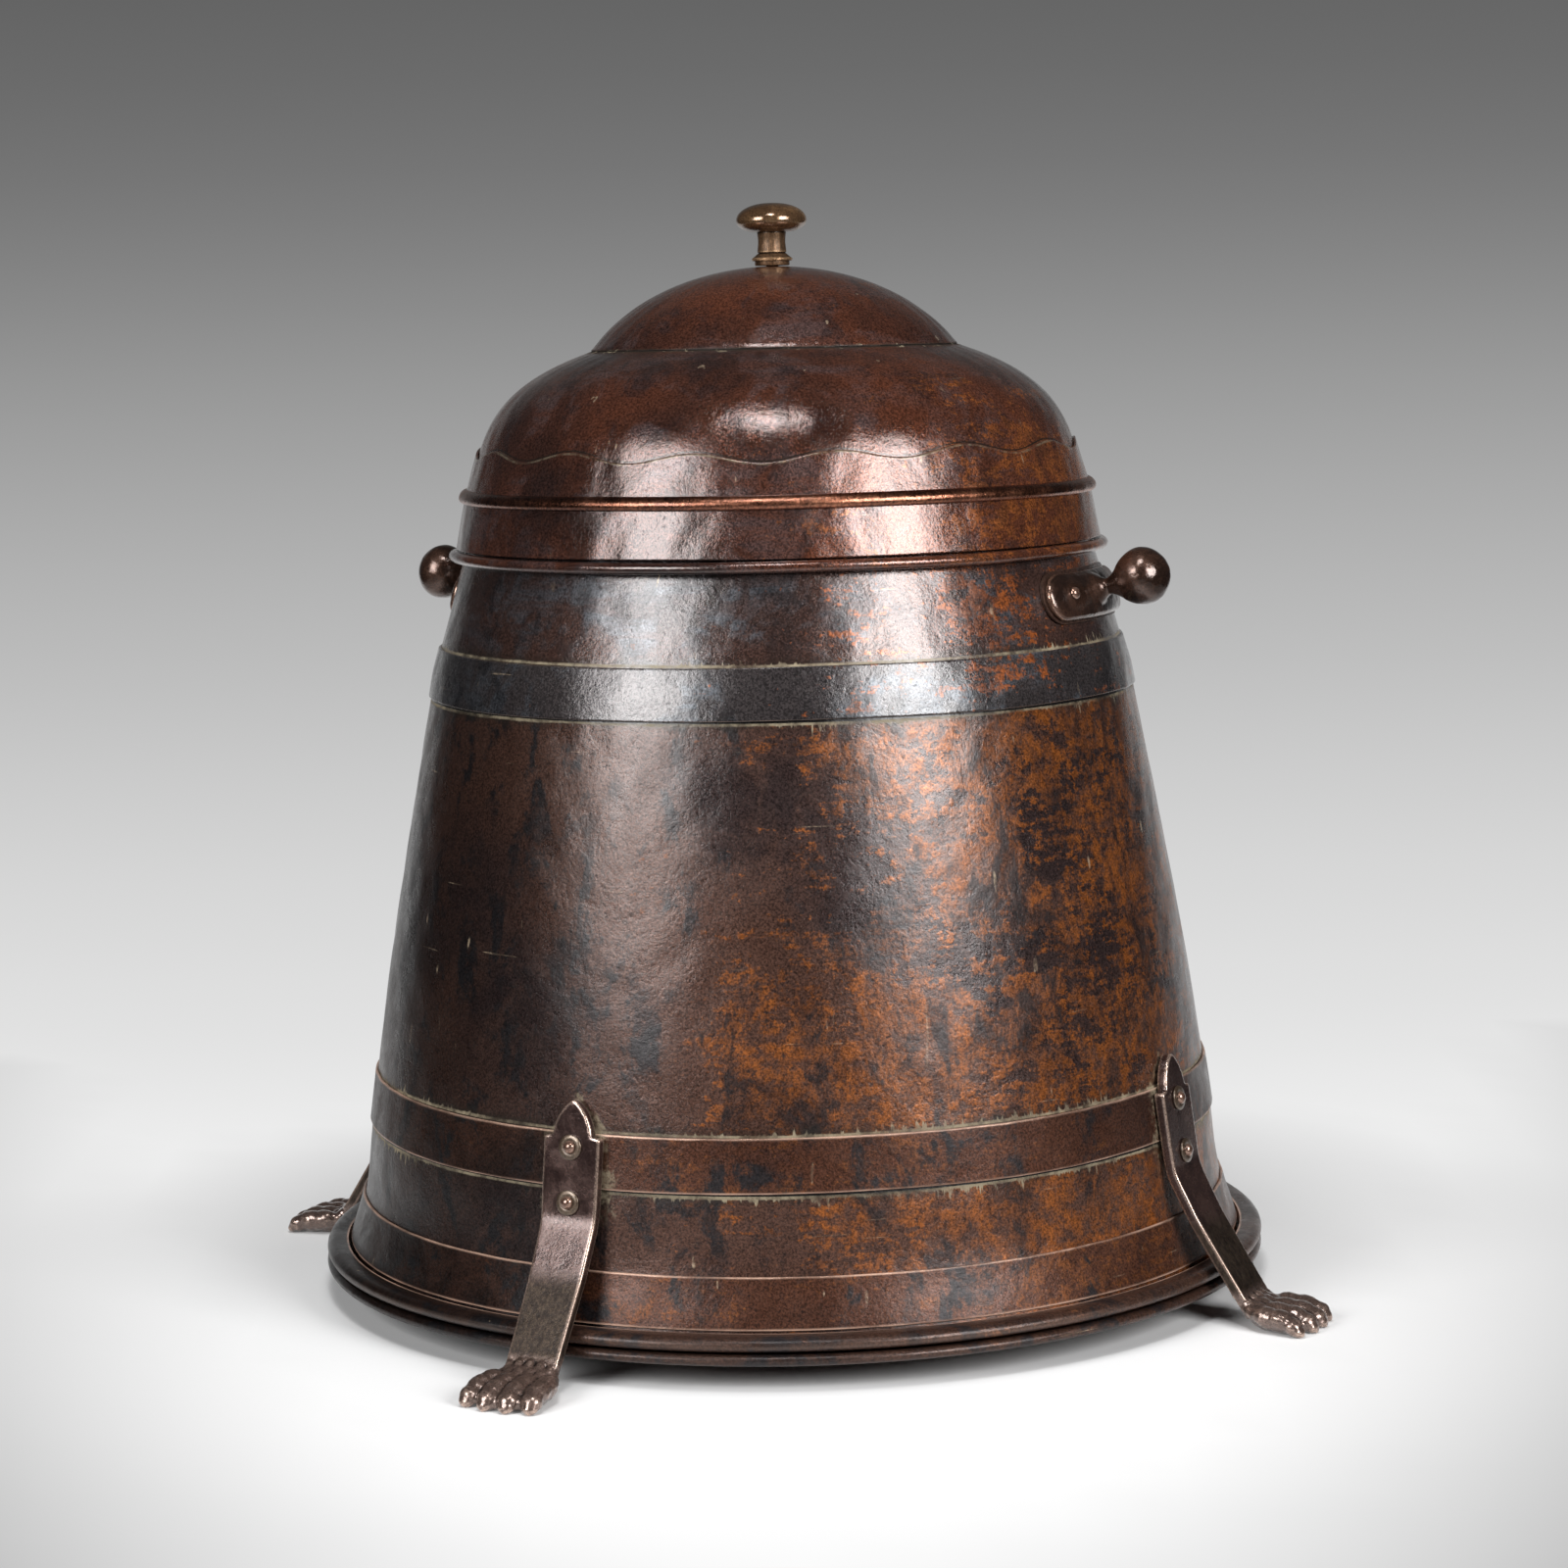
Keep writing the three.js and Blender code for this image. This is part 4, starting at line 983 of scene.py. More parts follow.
washer_copper = cast_bronze(
    "washer_copper", (0.018, 0.013, 0.01), (0.034, 0.024, 0.018), (0.12, 0.082, 0.054), 0.34,
)


# Wall

def on_wall(angle, offset, level):
    """Radius and level of a point at an offset from the hammered wall."""
    return wall_radius(level) + offset - DENT_DEPTH * (1 + wall_dents(angle, level)) / 2, level


def on_wall_by_hand(angle, offset, level):
    """The same for a band, whose edges waver a little."""
    return on_wall(angle, offset, level + EDGE_WAVER * wall_waver(angle, 0))


def wall_sheet(node, material, slot, offset=0.0, thickness=SHEET, shape=on_wall):
    """A ring of the wall or a band at an offset from its outer face."""
    line = edged_line(offset, low_level(node) + EDGE_BULGE, high_level(node) - EDGE_BULGE, WALL_STEP)
    piece = lathe(node + "_sheet", sheet_section(line, thickness), material, shape, outer_count=len(line))
    settle(piece, "bin", slot, node)


band_layers = (SNUG_GAP + BAND_SHEET, BAND_SHEET)
wall_sheet("drum_shell", drum_copper, "copper_wall")
wall_sheet("neck_shell", neck_copper, "copper_wall")
wall_sheet("upper_band", band_copper, "copper_band", *band_layers, on_wall_by_hand)
wall_sheet("hoop_band", hoop_copper, "copper_wall", *band_layers, on_wall_by_hand)
wall_sheet("foot_band", hoop_copper, "copper_wall", *band_layers)


# Base

def make_flange():
    low, high = low_level("base_flange"), high_level("base_flange")
    inner, outer = drum_foot_radius + FRAME_GAP, across_reach("base_flange")
    points = [
        (between(inner, outer, depth), between(low, high, level))
        for depth, level in zip(flange_depth_shares, flange_level_shares)
    ]
    curve = np.clip(curve_through(points, FINE_STEP), (inner, low), (outer, high))

    def worn(angle, across, level):
        give = EDGE_WAVER * (across - inner) / (outer - inner)
        return across - give * (1 + wall_waver(angle, level)) / 2, level

    settle(lathe("base_flange_roll", curve, base_copper, worn), "bin", "copper_base", "base_flange")


def make_pan():
    low, high = low_level("bottom_pan"), high_level("bottom_pan")
    line = straight_line((across_reach("bottom_pan") - EDGE_BULGE, high), (0, high), WALL_STEP)
    section = sheet_section(line, high - low - DENT_DEPTH)

    def hammered(angle, across, level):
        fade = np.clip(across / PAN_CALM_RADIUS, 0, 1)
        return across, level - DENT_DEPTH * fade * (1 + wall_dents(angle, across)) / 2

    settle(lathe("bottom_pan_sheet", section, base_copper, hammered), "bin", "copper_base", "bottom_pan")


def make_wire(name, node, body, material, slot, waver=0.0):
    """A round wire or rolled bead, set by its node's box."""
    low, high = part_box(node)
    middle = (high.z + low.z) / 2
    radius = (high.z - low.z) / 2 / math.cos(math.pi / BEAD_FACETS)
    turn = np.arange(WIRE_SIDES) * FULL_TURN / WIRE_SIDES
    section = np.stack([high.x - radius + radius * np.cos(turn), middle + radius * np.sin(turn)], -1)

    def rolled(angle, across, level):
        slack = BEAD_SLACK * (1 + wall_waver(angle, 1)) / 2
        return across - slack, between(middle, level, BEAD_FLATNESS) + waver * wall_waver(angle, 0)

    settle(lathe(name, section, material, rolled), body, slot, node)


make_flange()
make_pan()
make_wire("base_bead_roll", "base_bead", "bin", base_copper, "copper_base")
make_wire("neck_rim_roll", "neck_rim_wire", "bin", neck_copper, "copper_wall")


# Lid

skirt_levels = [low_level("lid_skirt"), middle_level("lid_upper_bead"), high_level("lid_skirt")]
skirt_radii = [ring_radius("lid_skirt", level) for level in skirt_levels]
skirt_bottom, bead_level, skirt_top = skirt_levels


def skirt_radius(level):
    """Outer radius of the skirt at a level."""
    return np.interp(level, skirt_levels, skirt_radii)


def lid_sink(angle, level):
    """How far the hammered lid lies inside its true round."""
    return DENT_DEPTH * (1 + lid_dents(angle, level)) / 2


def lid_sheet(node, line, shape, thickness=SHEET, segments=RING_SEGMENTS):
    section = sheet_section(line, thickness)
    piece = lathe(node + "_sheet", section, lid_copper, shape, segments, len(line))
    settle(piece, "lid", "copper_lid", node)


def make_skirt():
    trough = skirt_top - WAVE_HEIGHT
    line = edged_line(0, skirt_bottom + EDGE_BULGE, trough - EDGE_BULGE, WALL_STEP / 2)
    thickness = np.interp(line[:, 1], (trough - SKIRT_THINNING, trough), (SHEET, SKIRT_EDGE_SHEET))

    def scalloped(angle, across, level):
        rise = np.clip((level - bead_level) / (trough - bead_level), 0, 1)
        uneven = sum(np.cos(turns * angle + start) - 1 for turns, start in WAVE_UNEVEN_TURNS)
        crest = WAVE_HEIGHT * (1 + np.cos(WAVE_COUNT * angle)) / 2 + WAVE_UNEVENNESS * uneven
        raised = level + rise ** 2 * crest
        return skirt_radius(raised) + across - lid_sink(angle, raised), raised

    lid_sheet("lid_skirt", line, scalloped, thickness, 2 * RING_SEGMENTS)


def make_shoulder():
    low, crease_level = low_level("lid_shoulder"), high_level("lid_shoulder")
    turn = crease_level - SHOULDER_HEIGHT
    crease_radius = ring_radius("lid_crown", low_level("lid_crown"))
    wide = skirt_radius(turn) - SHEET - FRAME_GAP + SHOULDER_LIFT
    pulls = [
        (between(crease_radius, wide, inwards), crease_level - SHOULDER_HEIGHT * down)
        for inwards, down in shoulder_pull_shares
    ]
    dome = bezier((wide, turn), *pulls, (crease_radius, crease_level), DOME_STEPS)
    foot = (skirt_radius(low) - SHEET - FRAME_GAP, low + EDGE_BULGE)
    lip = (crease_radius - 2 * SHEET, crease_level)

    def hammered(angle, across, level):
        return across - lid_sink(angle, level), level - lid_sink(angle, level) / 4

    line = np.array([*straight_line(foot, dome[0], WALL_STEP)[:-1], *dome, lip])
    lid_sheet("lid_shoulder", line, hammered)


def make_crown():
    bottom, top = low_level("lid_crown"), high_level("lid_crown")
    crease_radius = ring_radius("lid_crown", bottom)
    spread = crease_radius * CROWN_SPREAD_SHARE
    half_height = (top - bottom) / (1 - math.sqrt(1 - (crease_radius / spread) ** 2))
    across = np.linspace(crease_radius, STUD_HOLE, DOME_STEPS)
    line = np.stack([across, top + half_height * (np.sqrt(1 - (across / spread) ** 2) - 1)], -1)
    line[0, 1] += EDGE_BULGE

    def hammered(angle, across, level):
        sink = lid_sink(angle, across) * np.clip(across / CROWN_CALM_RADIUS, 0, 1) ** 2
        return across - sink / 2, level - sink

    lid_sheet("lid_crown", line, hammered)


def make_upper_bead():
    low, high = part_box("lid_upper_bead")
    half, depth = (high.z - low.z) / 2, high.x - skirt_radius(bead_level)
    turn = np.linspace(-QUARTER_TURN, QUARTER_TURN, BEAD_ARC_POINTS)
    face = np.stack([depth * np.cos(turn), bead_level + half * np.sin(turn)], -1)
    section = [*face, (-BEAD_BITE, high.z), (-BEAD_BITE, low.z)]

    def seated(angle, across, level):
        raised = level + LID_BEAD_WAVER * lid_waver(angle, 2)
        return skirt_radius(level) + across - lid_sink(angle, level), raised

    piece = lathe("lid_upper_bead_roll", section, bead_copper, seated)
    settle(piece, "lid", "copper_bead", "lid_upper_bead")


make_skirt()
make_shoulder()
make_crown()
make_upper_bead()
make_wire("lid_lower_bead_roll", "lid_lower_bead", "lid", lid_copper, "copper_lid", LID_BEAD_WAVER)


# Knob, washer and nut

def knob_piece(name, node, section, shape, segments):
    settle(lathe(name, section, knob_brass, shape, segments), "lid", "knob", node)


def make_knob():
    low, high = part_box("lid_knob")
    foot, collar, neck, head, stud = KNOB_RADII.values()
    base = high.z - sum(KNOB_STACK_HEIGHTS.values())
    foot_top, collar_top, neck_top, widest, _ = base + np.cumsum([*KNOB_STACK_HEIGHTS.values()])
    neck_end = neck * NECK_END_SHARE
    flare = [
        (collar, between(foot_top, collar_top, FLARE_START_SHARE)),
        (neck * FLARE_WIDTH_SHARE, between(foot_top, collar_top, FLARE_MIDDLE_SHARE)),
        (neck, collar_top),
    ]
    stem = [
        (neck_end, collar_top + 3 * EDGE_BULGE),
        (neck * WAIST_SHARE, between(collar_top, neck_top, WAIST_LEVEL_SHARE)),
        (neck_end, neck_top - EDGE_BULGE),
    ]
    turn = np.linspace(0, QUARTER_TURN, DOME_STEPS)
    under = np.stack([between(neck_end, head, np.cos(turn)), between(widest, neck_top, np.sin(turn))], -1)
    cap = np.stack([head * np.cos(turn) ** CAP_POWER, between(widest, high.z, np.sin(turn))], -1)
    section = [
        (0, low.z),
        *straight_line((stud, low.z), (stud, base), THREAD_PITCH / 4),
        (foot - EDGE_BULGE, base), (foot, base + EDGE_BULGE), (foot, foot_top),
        (collar - EDGE_BULGE, foot_top), (collar, foot_top + EDGE_BULGE),
        *curve_through(flare, FINE_STEP / 2),
        (neck * GROOVE_SHARE, collar_top + EDGE_BULGE), (neck_end, collar_top + 2 * EDGE_BULGE),
        *curve_through(stem, FINE_STEP / 2),
        *under[::-1],
        *cap[1:],
    ]

    def threaded(angle, across, level):
        on_stud = (across > stud / 2) & (level < base - EDGE_BULGE) & (level > low.z + EDGE_BULGE)
        cut = THREAD_DEPTH * (1 + np.cos(FULL_TURN * level / THREAD_PITCH - angle)) / 2
        return across - np.where(on_stud, cut, 0), level

    knob_piece("lid_knob_turned", "lid_knob", section, threaded, KNOB_SEGMENTS)


def make_nut_washer():
    low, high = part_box("lid_knob_washer")
    section = ring_section(STUD_HOLE, high.x, high.z - low.z) + (0, low.z)
    knob_piece("lid_knob_washer_ring", "lid_knob_washer", section, None, SMALL_SEGMENTS)


def make_nut():
    low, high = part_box("lid_knob_nut")
    section = ring_section(0, 1, high.z - low.z) + (0, low.z)
    section[:, 0] = (0, NUT_CHAMFER_SHARE, 1, 1, NUT_CHAMFER_SHARE, 0, 0)

    def squared(angle, across, level):
        """Here across is the share of the way from the hole to the nut's sides."""
        turn = np.abs([np.cos(angle), np.sin(angle)])
        sides = high.x / (turn ** NUT_SQUARENESS).sum(0) ** (1 / NUT_SQUARENESS)
        return between(STUD_HOLE, sides, across), level

    knob_piece("lid_knob_nut_square", "lid_knob_nut", section, squared, KNOB_SEGMENTS)


make_knob()
make_nut_washer()
make_nut()


# Rivets

def rivet_section(reach):
    """Tail, shank and a round head whose seat is at zero."""
    turn = np.linspace(0, QUARTER_TURN, HEAD_ARC_POINTS)
    tail = np.stack([TAIL_RADIUS * np.sin(turn), -reach - TAIL_HEIGHT * np.cos(turn)], -1)
    head = np.stack([HEAD_RADIUS * np.cos(turn), HEAD_HEIGHT * np.sin(turn)], -1)
    return np.array([*tail, (SHANK_RADIUS, -reach), (SHANK_RADIUS, 0), *head])


def seat_piece(owner, part, kind, ending, section, matrix, lift, material, shape=None):
    """A washer or rivet of a foot or handle, lifted off its seat."""
    name = f"{owner}_{part}_{kind}_{ending}"
    piece = lathe(name, section + np.array((0, lift)), material, shape, SMALL_SEGMENTS)
    piece.data.transform(matrix)
    settle(piece, "bin", "rivet", f"{owner}_{kind}_{part}")


def dented_head(seed):
    """Small hammer marks on a rivet's head."""
    field = wave_field(seed, HEAD_DENT_TURNS, HEAD_DENT_RISE, HEAD_DENT_WAVES)

    def shape(angle, across, level):
        return across * (1 + HEAD_DENT_SHARE * field(angle, level)), level

    return shape


hoop_top, hoop_bottom = high_level("hoop_band"), low_level("hoop_band")
band_face = FRAME_GAP + BAND_SHEET + FRAME_GAP
strap_slope = (cad_wall_radius(hoop_bottom) - cad_wall_radius(hoop_top)) / (hoop_top - hoop_bottom)
strap_lean = math.atan(strap_slope)


def strap_back_radius(level):
    return cad_wall_radius(hoop_top) + band_face + strap_slope * (hoop_top - level)


def make_foot_rivets():
    stack = 2 * FRAME_GAP + RIVET_WASHER_HEIGHT
    ring = ring_section(SHANK_RADIUS + FRAME_GAP, RIVET_WASHER_RADIUS, RIVET_WASHER_HEIGHT + FRAME_GAP)
    for number, (side, place) in enumerate(FOOT_PLACES.items()):
        for part, level in (("upper", hoop_top - RIVET_DROP), ("lower", hoop_bottom - RIVET_DROP)):
            front = strap_back_radius(level) + STRAP_THICKNESS / math.cos(strap_lean)
            matrix = seat_matrix(front, level, strap_lean, place)
            inner = cad_wall_radius(level) - SHEET - FOOT_RIVET_SLACK
            pin = rivet_section((front - inner) * math.cos(strap_lean) + stack)
            seat_piece("foot_" + side, part, "washer", "ring", ring, matrix, SNUG_GAP, washer_copper)
            head = dented_head(FOOT_HEAD_SEED + number)
            seat_piece("foot_" + side, part, "rivet", "pin", pin, matrix, stack, rivet_copper, head)


make_foot_rivets()


# Castings: lumps and bars joined under one skin

def smooth(mesh):
    mesh.polygons.foreach_set("use_smooth", [True] * len(mesh.polygons))


def fused(name, meshes, voxel, smoothing, material):
    """One closed skin round several closed meshes, smoothed."""
    points, faces = [], []
    for part_points, part_faces in meshes:
        start = len(points)
        points += part_points
        faces += [[start + corner for corner in face] for face in part_faces]
    mesh = new_mesh(name, points, faces)
    with reworked(mesh) as work:
        bmesh.ops.recalc_face_normals(work, faces=work.faces)
    piece = show(name, mesh)
    skin = piece.modifiers.new("skin", "REMESH")
    skin.mode = "VOXEL"
    skin.voxel_size = voxel
    soft = piece.modifiers.new("soft", "SMOOTH")
    soft.factor = SOFTENING_SHARE
    soft.iterations = smoothing
    bpy.context.view_layer.update()
    whole = bpy.data.meshes.new_from_object(piece.evaluated_get(bpy.context.evaluated_depsgraph_get()))
    piece.modifiers.clear()
    piece.data = whole
    bpy.data.meshes.remove(mesh)
    whole.materials.append(material)
    smooth(whole)
    return piece


def roughen(piece, depth, scale, low_only=None):
    """Uneven cast surface: moves each point along its normal."""
    places, normals = point_values(piece.data, "co"), point_values(piece.data, "normal")
    lumps = np.array([noise.fractal(Vector(place) * scale, *cast_noise) for place in places])
    if low_only is not None:
        lumps *= np.interp(places[:, 2], (low_only, low_only + PAW_ROUGH_FADE), (1, STRAP_ROUGH_SHARE))
    places += normals * depth * lumps[:, None]
    piece.data.vertices.foreach_set("co", places.ravel())


def place_casting(cast, node, place):
    """A copy of a casting at its place."""
    mesh = cast.data.copy()
    mesh.transform(turn_to(place))
    settle(show(node + "_casting", mesh), "bin", "casting", node)


def tube(rings):
    """Joins rings of equal count, with closed ends."""
    count = len(rings[0])
    points = [tuple(point) for ring in rings for point in ring]
    ends = [range(count), range(len(points) - count, len(points))]
    return points, grid_faces(len(rings), count) + ends


def egg(middle, half_sizes, tilt):
    """An egg by its middle and half sizes, tipped down in front by a tilt."""
    tipped = [(math.cos(tilt), 0, -math.sin(tilt)), (0, 1, 0), (math.sin(tilt), 0, math.cos(tilt))]
    turns = np.arange(2 * EGG_STEPS) * math.pi / EGG_STEPS
    rise, turn = np.meshgrid(turns[1:EGG_STEPS], turns, indexing="ij")
    ball = np.stack([np.cos(rise), np.sin(rise) * np.cos(turn), np.sin(rise) * np.sin(turn)], -1)
    return tube(ball * half_sizes @ np.array(tipped) + middle)


# Feet

def rounded_bar(wide, thick, worn):
    """Points of a bar's section, with worn corners, as aside and outwards values."""
    points = []
    for side, (aside, out) in enumerate(((1, 0), (1, 1), (-1, 1), (-1, 0))):
        for turn in np.linspace(side - 1, side, BAR_CORNER_STEPS + 1) * QUARTER_TURN:
            middle = thick - worn if out else worn
            points.append((aside * (wide - worn) + worn * math.cos(turn), middle + worn * math.sin(turn)))
    return points


def strap_mesh():
    """The strap from its leaf down over the bend and the base rim to the paw."""
    top, bend_level = hoop_top + LEAF_RISE, hoop_bottom - STRAP_BEND_DROP
    base_rim = across_reach("base_flange")
    bend = np.array((strap_back_radius(bend_level), bend_level))
    rim = np.array((base_rim + STRAP_RIM_GAP, high_level("base_flange")))
    ankle = (base_rim + PAW_SETOUT + STRAP_RIM_GAP, PAW_HEIGHT * ANKLE_SHARE)
    route = [(strap_back_radius(top), top), bend, between(bend, rim, KNEE_SHARE), ankle]
    path = [route[0]]
    for start, end in zip(route, route[1:]):
        path += list(straight_line(start, end, STRAP_STEP)[1:])
    path = np.array(path)
    for _ in range(BEND_SOFTENING):
        path[1:-1] = (path[:-2] + 2 * path[1:-1] + path[2:]) / 4
    drops, leaf_halves = np.array(leaf_outline_shares).T * [[LEAF_HEIGHT], [STRAP_WIDTH / 2]]
    levels = np.array([*(top - drops), *path[path[:, 1] < top - LEAF_HEIGHT, 1]])
    line = np.stack([np.interp(-levels, -path[:, 1], path[:, 0]), levels], -1)
    run = np.gradient(line, axis=0)
    run /= np.linalg.norm(run, axis=1)[:, None]
    taper = np.interp(levels, (low_level("base_flange"), hoop_bottom), (STRAP_FOOT_SHARE, 1))
    halves = np.minimum(np.interp(top - levels, drops, leaf_halves), taper * STRAP_WIDTH / 2)
    rings = []
    for (radius, level), (away, down), half in zip(line, run, halves):
        bar = rounded_bar(half, STRAP_THICKNESS, min(STRAP_WORN, half / 2))
        rings.append([(radius - down * out, aside, level + away * out) for aside, out in bar])
    return tube(rings)


def paw_meshes():
    """The lumps of the paw's body, its fur and its toes."""
    heel = across_reach("base_flange") + PAW_SETOUT
    parts = [egg((heel + out, aside, level), sizes, tilt) for out, aside, level, *sizes, tilt in paw_lumps]
    middle = (TOE_COUNT - 1) / 2
    for offset in np.arange(TOE_COUNT) - middle:
        tip = heel + PAW_LENGTH - TOE_SETBACK * abs(offset) / middle
        for back, level, *sizes, tilt in toe_lumps:
            splay = np.interp(back, (0, TOE_REACH), (1, TOE_SPLAY))
            parts.append(egg((tip - back, offset * PAW_WIDTH / TOE_COUNT * splay, level), sizes, tilt))
    return parts


def soften_low(piece, level, rounds):
    """Smooths the points below a level, so that the lumps there run into each other."""
    with reworked(piece.data) as work:
        low_points = [point for point in work.verts if point.co.z < level]
        axes = {"use_axis_" + axis: True for axis in "xyz"}
        for _ in range(rounds):
            bmesh.ops.smooth_vert(work, verts=low_points, factor=SOFTENING_SHARE, **axes)


def make_feet():
    cast = fused("foot_cast", [strap_mesh()] + paw_meshes(), FOOT_VOXEL, PAW_SMOOTHING, foot_bronze)
    soften_low(cast, PAW_HEIGHT, PAW_SOFTENING)
    roughen(cast, PAW_ROUGHNESS, PAW_GRAIN, PAW_HEIGHT)
    low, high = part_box("foot_front")
    places = point_values(cast.data, "co")
    places[:, 0] = np.minimum(places[:, 0], -low.y)
    places[:, 2] = np.clip(places[:, 2], 0, high.z)
    cast.data.vertices.foreach_set("co", places.ravel())
    mark_wear(cast, CAST_WEAR_ROUNDS)
    for side, place in FOOT_PLACES.items():
        place_casting(cast, "foot_" + side, place)
    bpy.data.objects.remove(cast)


make_feet()


# Handles

handle_level = middle_level("handle_right_plate")
handle_radius = cad_wall_radius(handle_level)


def tablet_mesh(length, width, offset, edge, crown):
    """A curved tablet on the neck with round ends, by rings along it."""
    half, straight = width / 2, (length - width) / 2
    rings = []
    for row in range(TABLET_ROWS):
        reach = -math.cos(math.pi * (row + 0.5) / TABLET_ROWS) * length / 2
        half_here = math.sqrt(max(half ** 2 - max(abs(reach) - straight, 0) ** 2, 0))
        angle = reach / (handle_radius + offset)
        shares = np.linspace(-1, 1, TABLET_POINTS)
        rises = edge + crown * half_here / half * np.sqrt(1 - shares ** 2)
        ring = []
        for share, out in [(1, 0), (-1, 0), *zip(shares, rises)]:
            level = handle_level + half_here * share
            radius = cad_wall_radius(level) + (offset + out) / math.cos(neck_lean)
            ring.append((radius * math.cos(angle), radius * math.sin(angle), level))
        rings.append(ring)
    return tube(rings)


def horn_mesh():
    """The horn that flares out of the pad and ends in the ball."""
    sizes = np.array(horn_shares) * (HORN_REACH, BALL_RADIUS, BALL_RADIUS)
    matrix = seat_matrix(handle_radius, handle_level, neck_lean, CASTING_PLACE)
    turns = np.arange(HORN_SIDES) * FULL_TURN / HORN_SIDES
    return tube([
        [matrix @ Vector((upright * math.cos(turn), along * math.sin(turn), reach)) for turn in turns]
        for reach, along, upright in curve_through(sizes, FINE_STEP)
    ])


def make_handles():
    pad = tablet_mesh(PAD_LENGTH, PAD_WIDTH, band_face, PAD_EDGE, PAD_THICKNESS - PAD_EDGE)
    cast = fused("handle_cast", [pad, horn_mesh()], HANDLE_VOXEL, HANDLE_SMOOTHING, handle_bronze)
    roughen(cast, HANDLE_ROUGHNESS, HANDLE_GRAIN)
    mark_wear(cast, CAST_WEAR_ROUNDS)
    border = 2 * PLATE_BORDER
    backing = tablet_mesh(PAD_LENGTH + border, PAD_WIDTH + border, FRAME_GAP, BAND_SHEET, 0)
    rivet_turn = math.degrees(HANDLE_RIVET_SPREAD / 2 / handle_radius)
    lift = band_face + PAD_THICKNESS + FRAME_GAP
    pin = rivet_section(lift + HANDLE_RIVET_SLACK)
    for number, (side, place) in enumerate(HANDLE_PLACES.items()):
        place_casting(cast, "handle_" + side, place)
        plate = new_piece(f"handle_{side}_backing", *backing, plate_copper)
        plate.data.transform(turn_to(place))
        mark_wear(plate)
        settle(plate, "bin", "copper_band", f"handle_{side}_plate")
        for part, way in (("near", -1), ("far", 1)):
            matrix = seat_matrix(handle_radius, handle_level, neck_lean, place + way * rivet_turn)
            head = dented_head(HANDLE_HEAD_SEED + number)
            seat_piece("handle_" + side, part, "rivet", "pin", pin, matrix, lift, rivet_copper, head)
    bpy.data.objects.remove(cast)


make_handles()


# Floor, light and camera

def corner_shade(along, aside):
    """How much light reaches a place on the floor; less towards the front corners."""
    reach = CAMERA_DISTANCE + along
    down = math.tan(math.atan2(CAMERA_HEIGHT, reach) - CAMERA_PITCH)
    shade = 1 - CORNER_RATE * max(math.hypot(aside / reach, down) - CORNER_START, 0)
    return max(shade, CORNER_LEAST)


def sweep_profile():
    """Rows of the sweep: along the floor, level, and the way along the paper."""
    for along in np.arange(SWEEP_FRONT, SWEEP_BACK, SWEEP_STEP):
        yield along, 0, along
    back, top = SWEEP_BACK + SWEEP_BEND, SWEEP_BACK + SWEEP_BEND * QUARTER_TURN
    for turn in np.linspace(0, QUARTER_TURN, SWEEP_BEND_STEPS):
        over, up = SWEEP_BEND * math.sin(turn), SWEEP_BEND * (1 - math.cos(turn))
        yield SWEEP_BACK + over, up, SWEEP_BACK + SWEEP_BEND * turn
    for level in np.arange(SWEEP_BEND, SWEEP_TOP, SWEEP_STEP)[1:]:
        yield back, level, top - SWEEP_BEND + level


def make_sweep():
    """A paper sweep: a floor that bends up behind the bin, with its painted light and glow at each point.
    """
    profile = list(sweep_profile())
    sides = np.arange(SWEEP_LEFT, SWEEP_RIGHT + SWEEP_STEP / 2, SWEEP_STEP)
    away = turned(CAMERA_AZIMUTH, -1, 0)
    aside = Vector((away.y, -away.x, 0))
    points, fade_values, glows = [], [], []
    for along, level, run in profile:
        for side in sides:
            points.append(away * along + aside * side + Vector((0, 0, level)))
            shade = corner_shade(along, side) if along < SWEEP_BACK else 1
            fade_values.append(np.interp(run, *zip(*sweep_painted_light)) * shade)
            glows.append(np.interp(math.hypot(run, side), (GLOW_NEAR, GLOW_FAR), (0, 1)))
    faces = grid_faces(len(profile), len(sides), closed=False)
    mesh = new_mesh("sweep", points, [face[::-1] for face in faces])
    smooth(mesh)
    store(mesh, "painted_fade", fade_values)
    store(mesh, "glow", glows)
    show("sweep", mesh, sweep_paper())


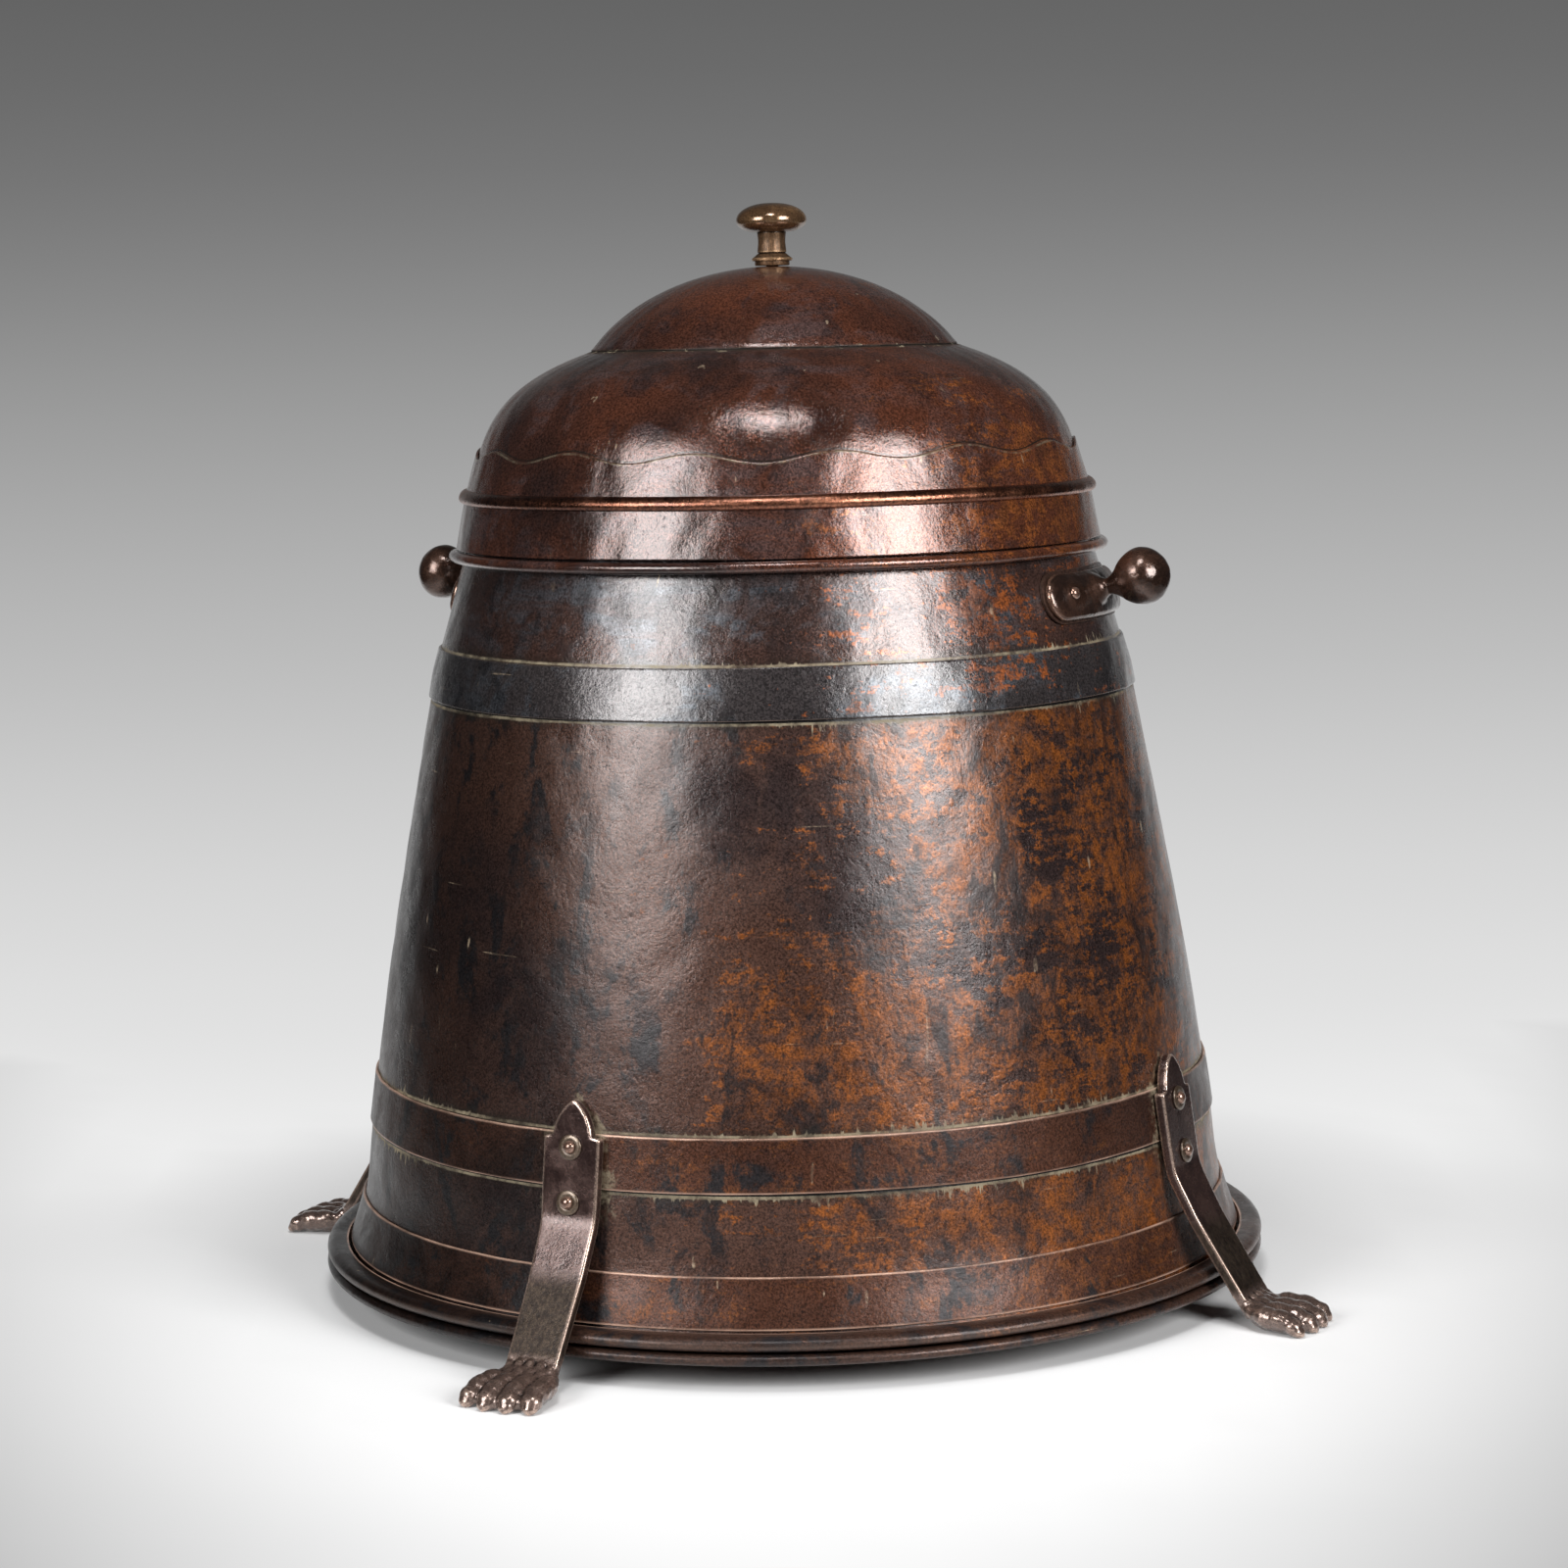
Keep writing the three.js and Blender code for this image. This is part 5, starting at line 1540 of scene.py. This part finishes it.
def sweep_paper():
    """Paper that turns into its own light away from the bin, clear from behind."""
    graph = Graph("sweep")
    # Painted light: the paper's brightness, fading away from the bin, sets both its lit colour and its
    # glow
    painted_fade = graph.attribute("painted_fade")
    grain = graph.step(graph.noise(400, 3, 0.6), 0.2, 0.8, PAPER_ALBEDO - PAPER_GRAIN, PAPER_ALBEDO)
    paper = graph.field("BsdfDiffuse", {"Color": graph.grey(painted_fade * grain)})
    ray = graph.add("LightPath").outputs
    seen = graph.most(ray["Is Camera Ray"], ray["Is Glossy Ray"])
    glow = graph.field("Emission", {"Color": graph.grey(painted_fade), "Strength": seen})
    front = graph.field("MixShader", {0: graph.attribute("glow"), 1: paper, 2: glow})
    behind = graph.add("NewGeometry").outputs["Backfacing"]
    both = graph.field("MixShader", {0: behind, 1: front, 2: graph.field("BsdfTransparent", {})})
    graph.join(both, graph.tree.nodes["Material Output"].inputs["Surface"])
    return graph.material


def add_area(name, place, target, width, height, brightness):
    """An area lamp that faces a target."""
    data = bpy.data.lights.new(name, "AREA")
    data.shape = "RECTANGLE"
    data.size, data.size_y = width, height
    data.energy = brightness * math.pi * width * height
    lamp = show(name, data)
    facing = (target - place).to_track_quat("-Z", "Y").to_matrix().to_4x4()
    lamp.matrix_world = Matrix.Translation(place) @ facing
    return lamp


def make_lights():
    for name, (azimuth, width, low, high, brightness) in softboxes.items():
        middle = (low + high) / 2
        place = turned(CAMERA_AZIMUTH + azimuth, SOFTBOX_DISTANCE, middle)
        add_area("softbox_" + name, place, Vector((0, 0, middle)), width, high - low, brightness)
    target = Vector((0, 0, high_level("lid_crown")))
    for name, (azimuth, distance, level, size, brightness) in lamps_above.items():
        place = turned(CAMERA_AZIMUTH + azimuth, distance, level)
        lamp = add_area(name, place, target, size, size, brightness)
        lamp.visible_glossy = name == "crown_lamp"
        lamp.visible_camera = False


def make_world():
    world = bpy.data.worlds.new("world")
    world.use_nodes = True
    world.node_tree.nodes["Background"].inputs["Color"].default_value = (*WORLD_COLOR, 1)
    bpy.context.scene.world = world


def make_camera():
    data = bpy.data.cameras.new("camera")
    data.lens = CAMERA_LENS
    camera = show("camera", data)
    place = Matrix.Translation(turned(CAMERA_AZIMUTH, CAMERA_DISTANCE, CAMERA_HEIGHT))
    turns = [(math.radians(CAMERA_AZIMUTH), "Z"), (QUARTER_TURN - CAMERA_PITCH, "X"), (-CAMERA_ROLL, "Z")]
    azimuth, pitch, roll = (Matrix.Rotation(turn, 4, axis) for turn, axis in turns)
    camera.matrix_world = place @ azimuth @ pitch @ roll
    bpy.context.scene.camera = camera


make_sweep()
make_lights()
make_world()
make_camera()
bpy.context.scene.view_settings.view_transform = "Standard"
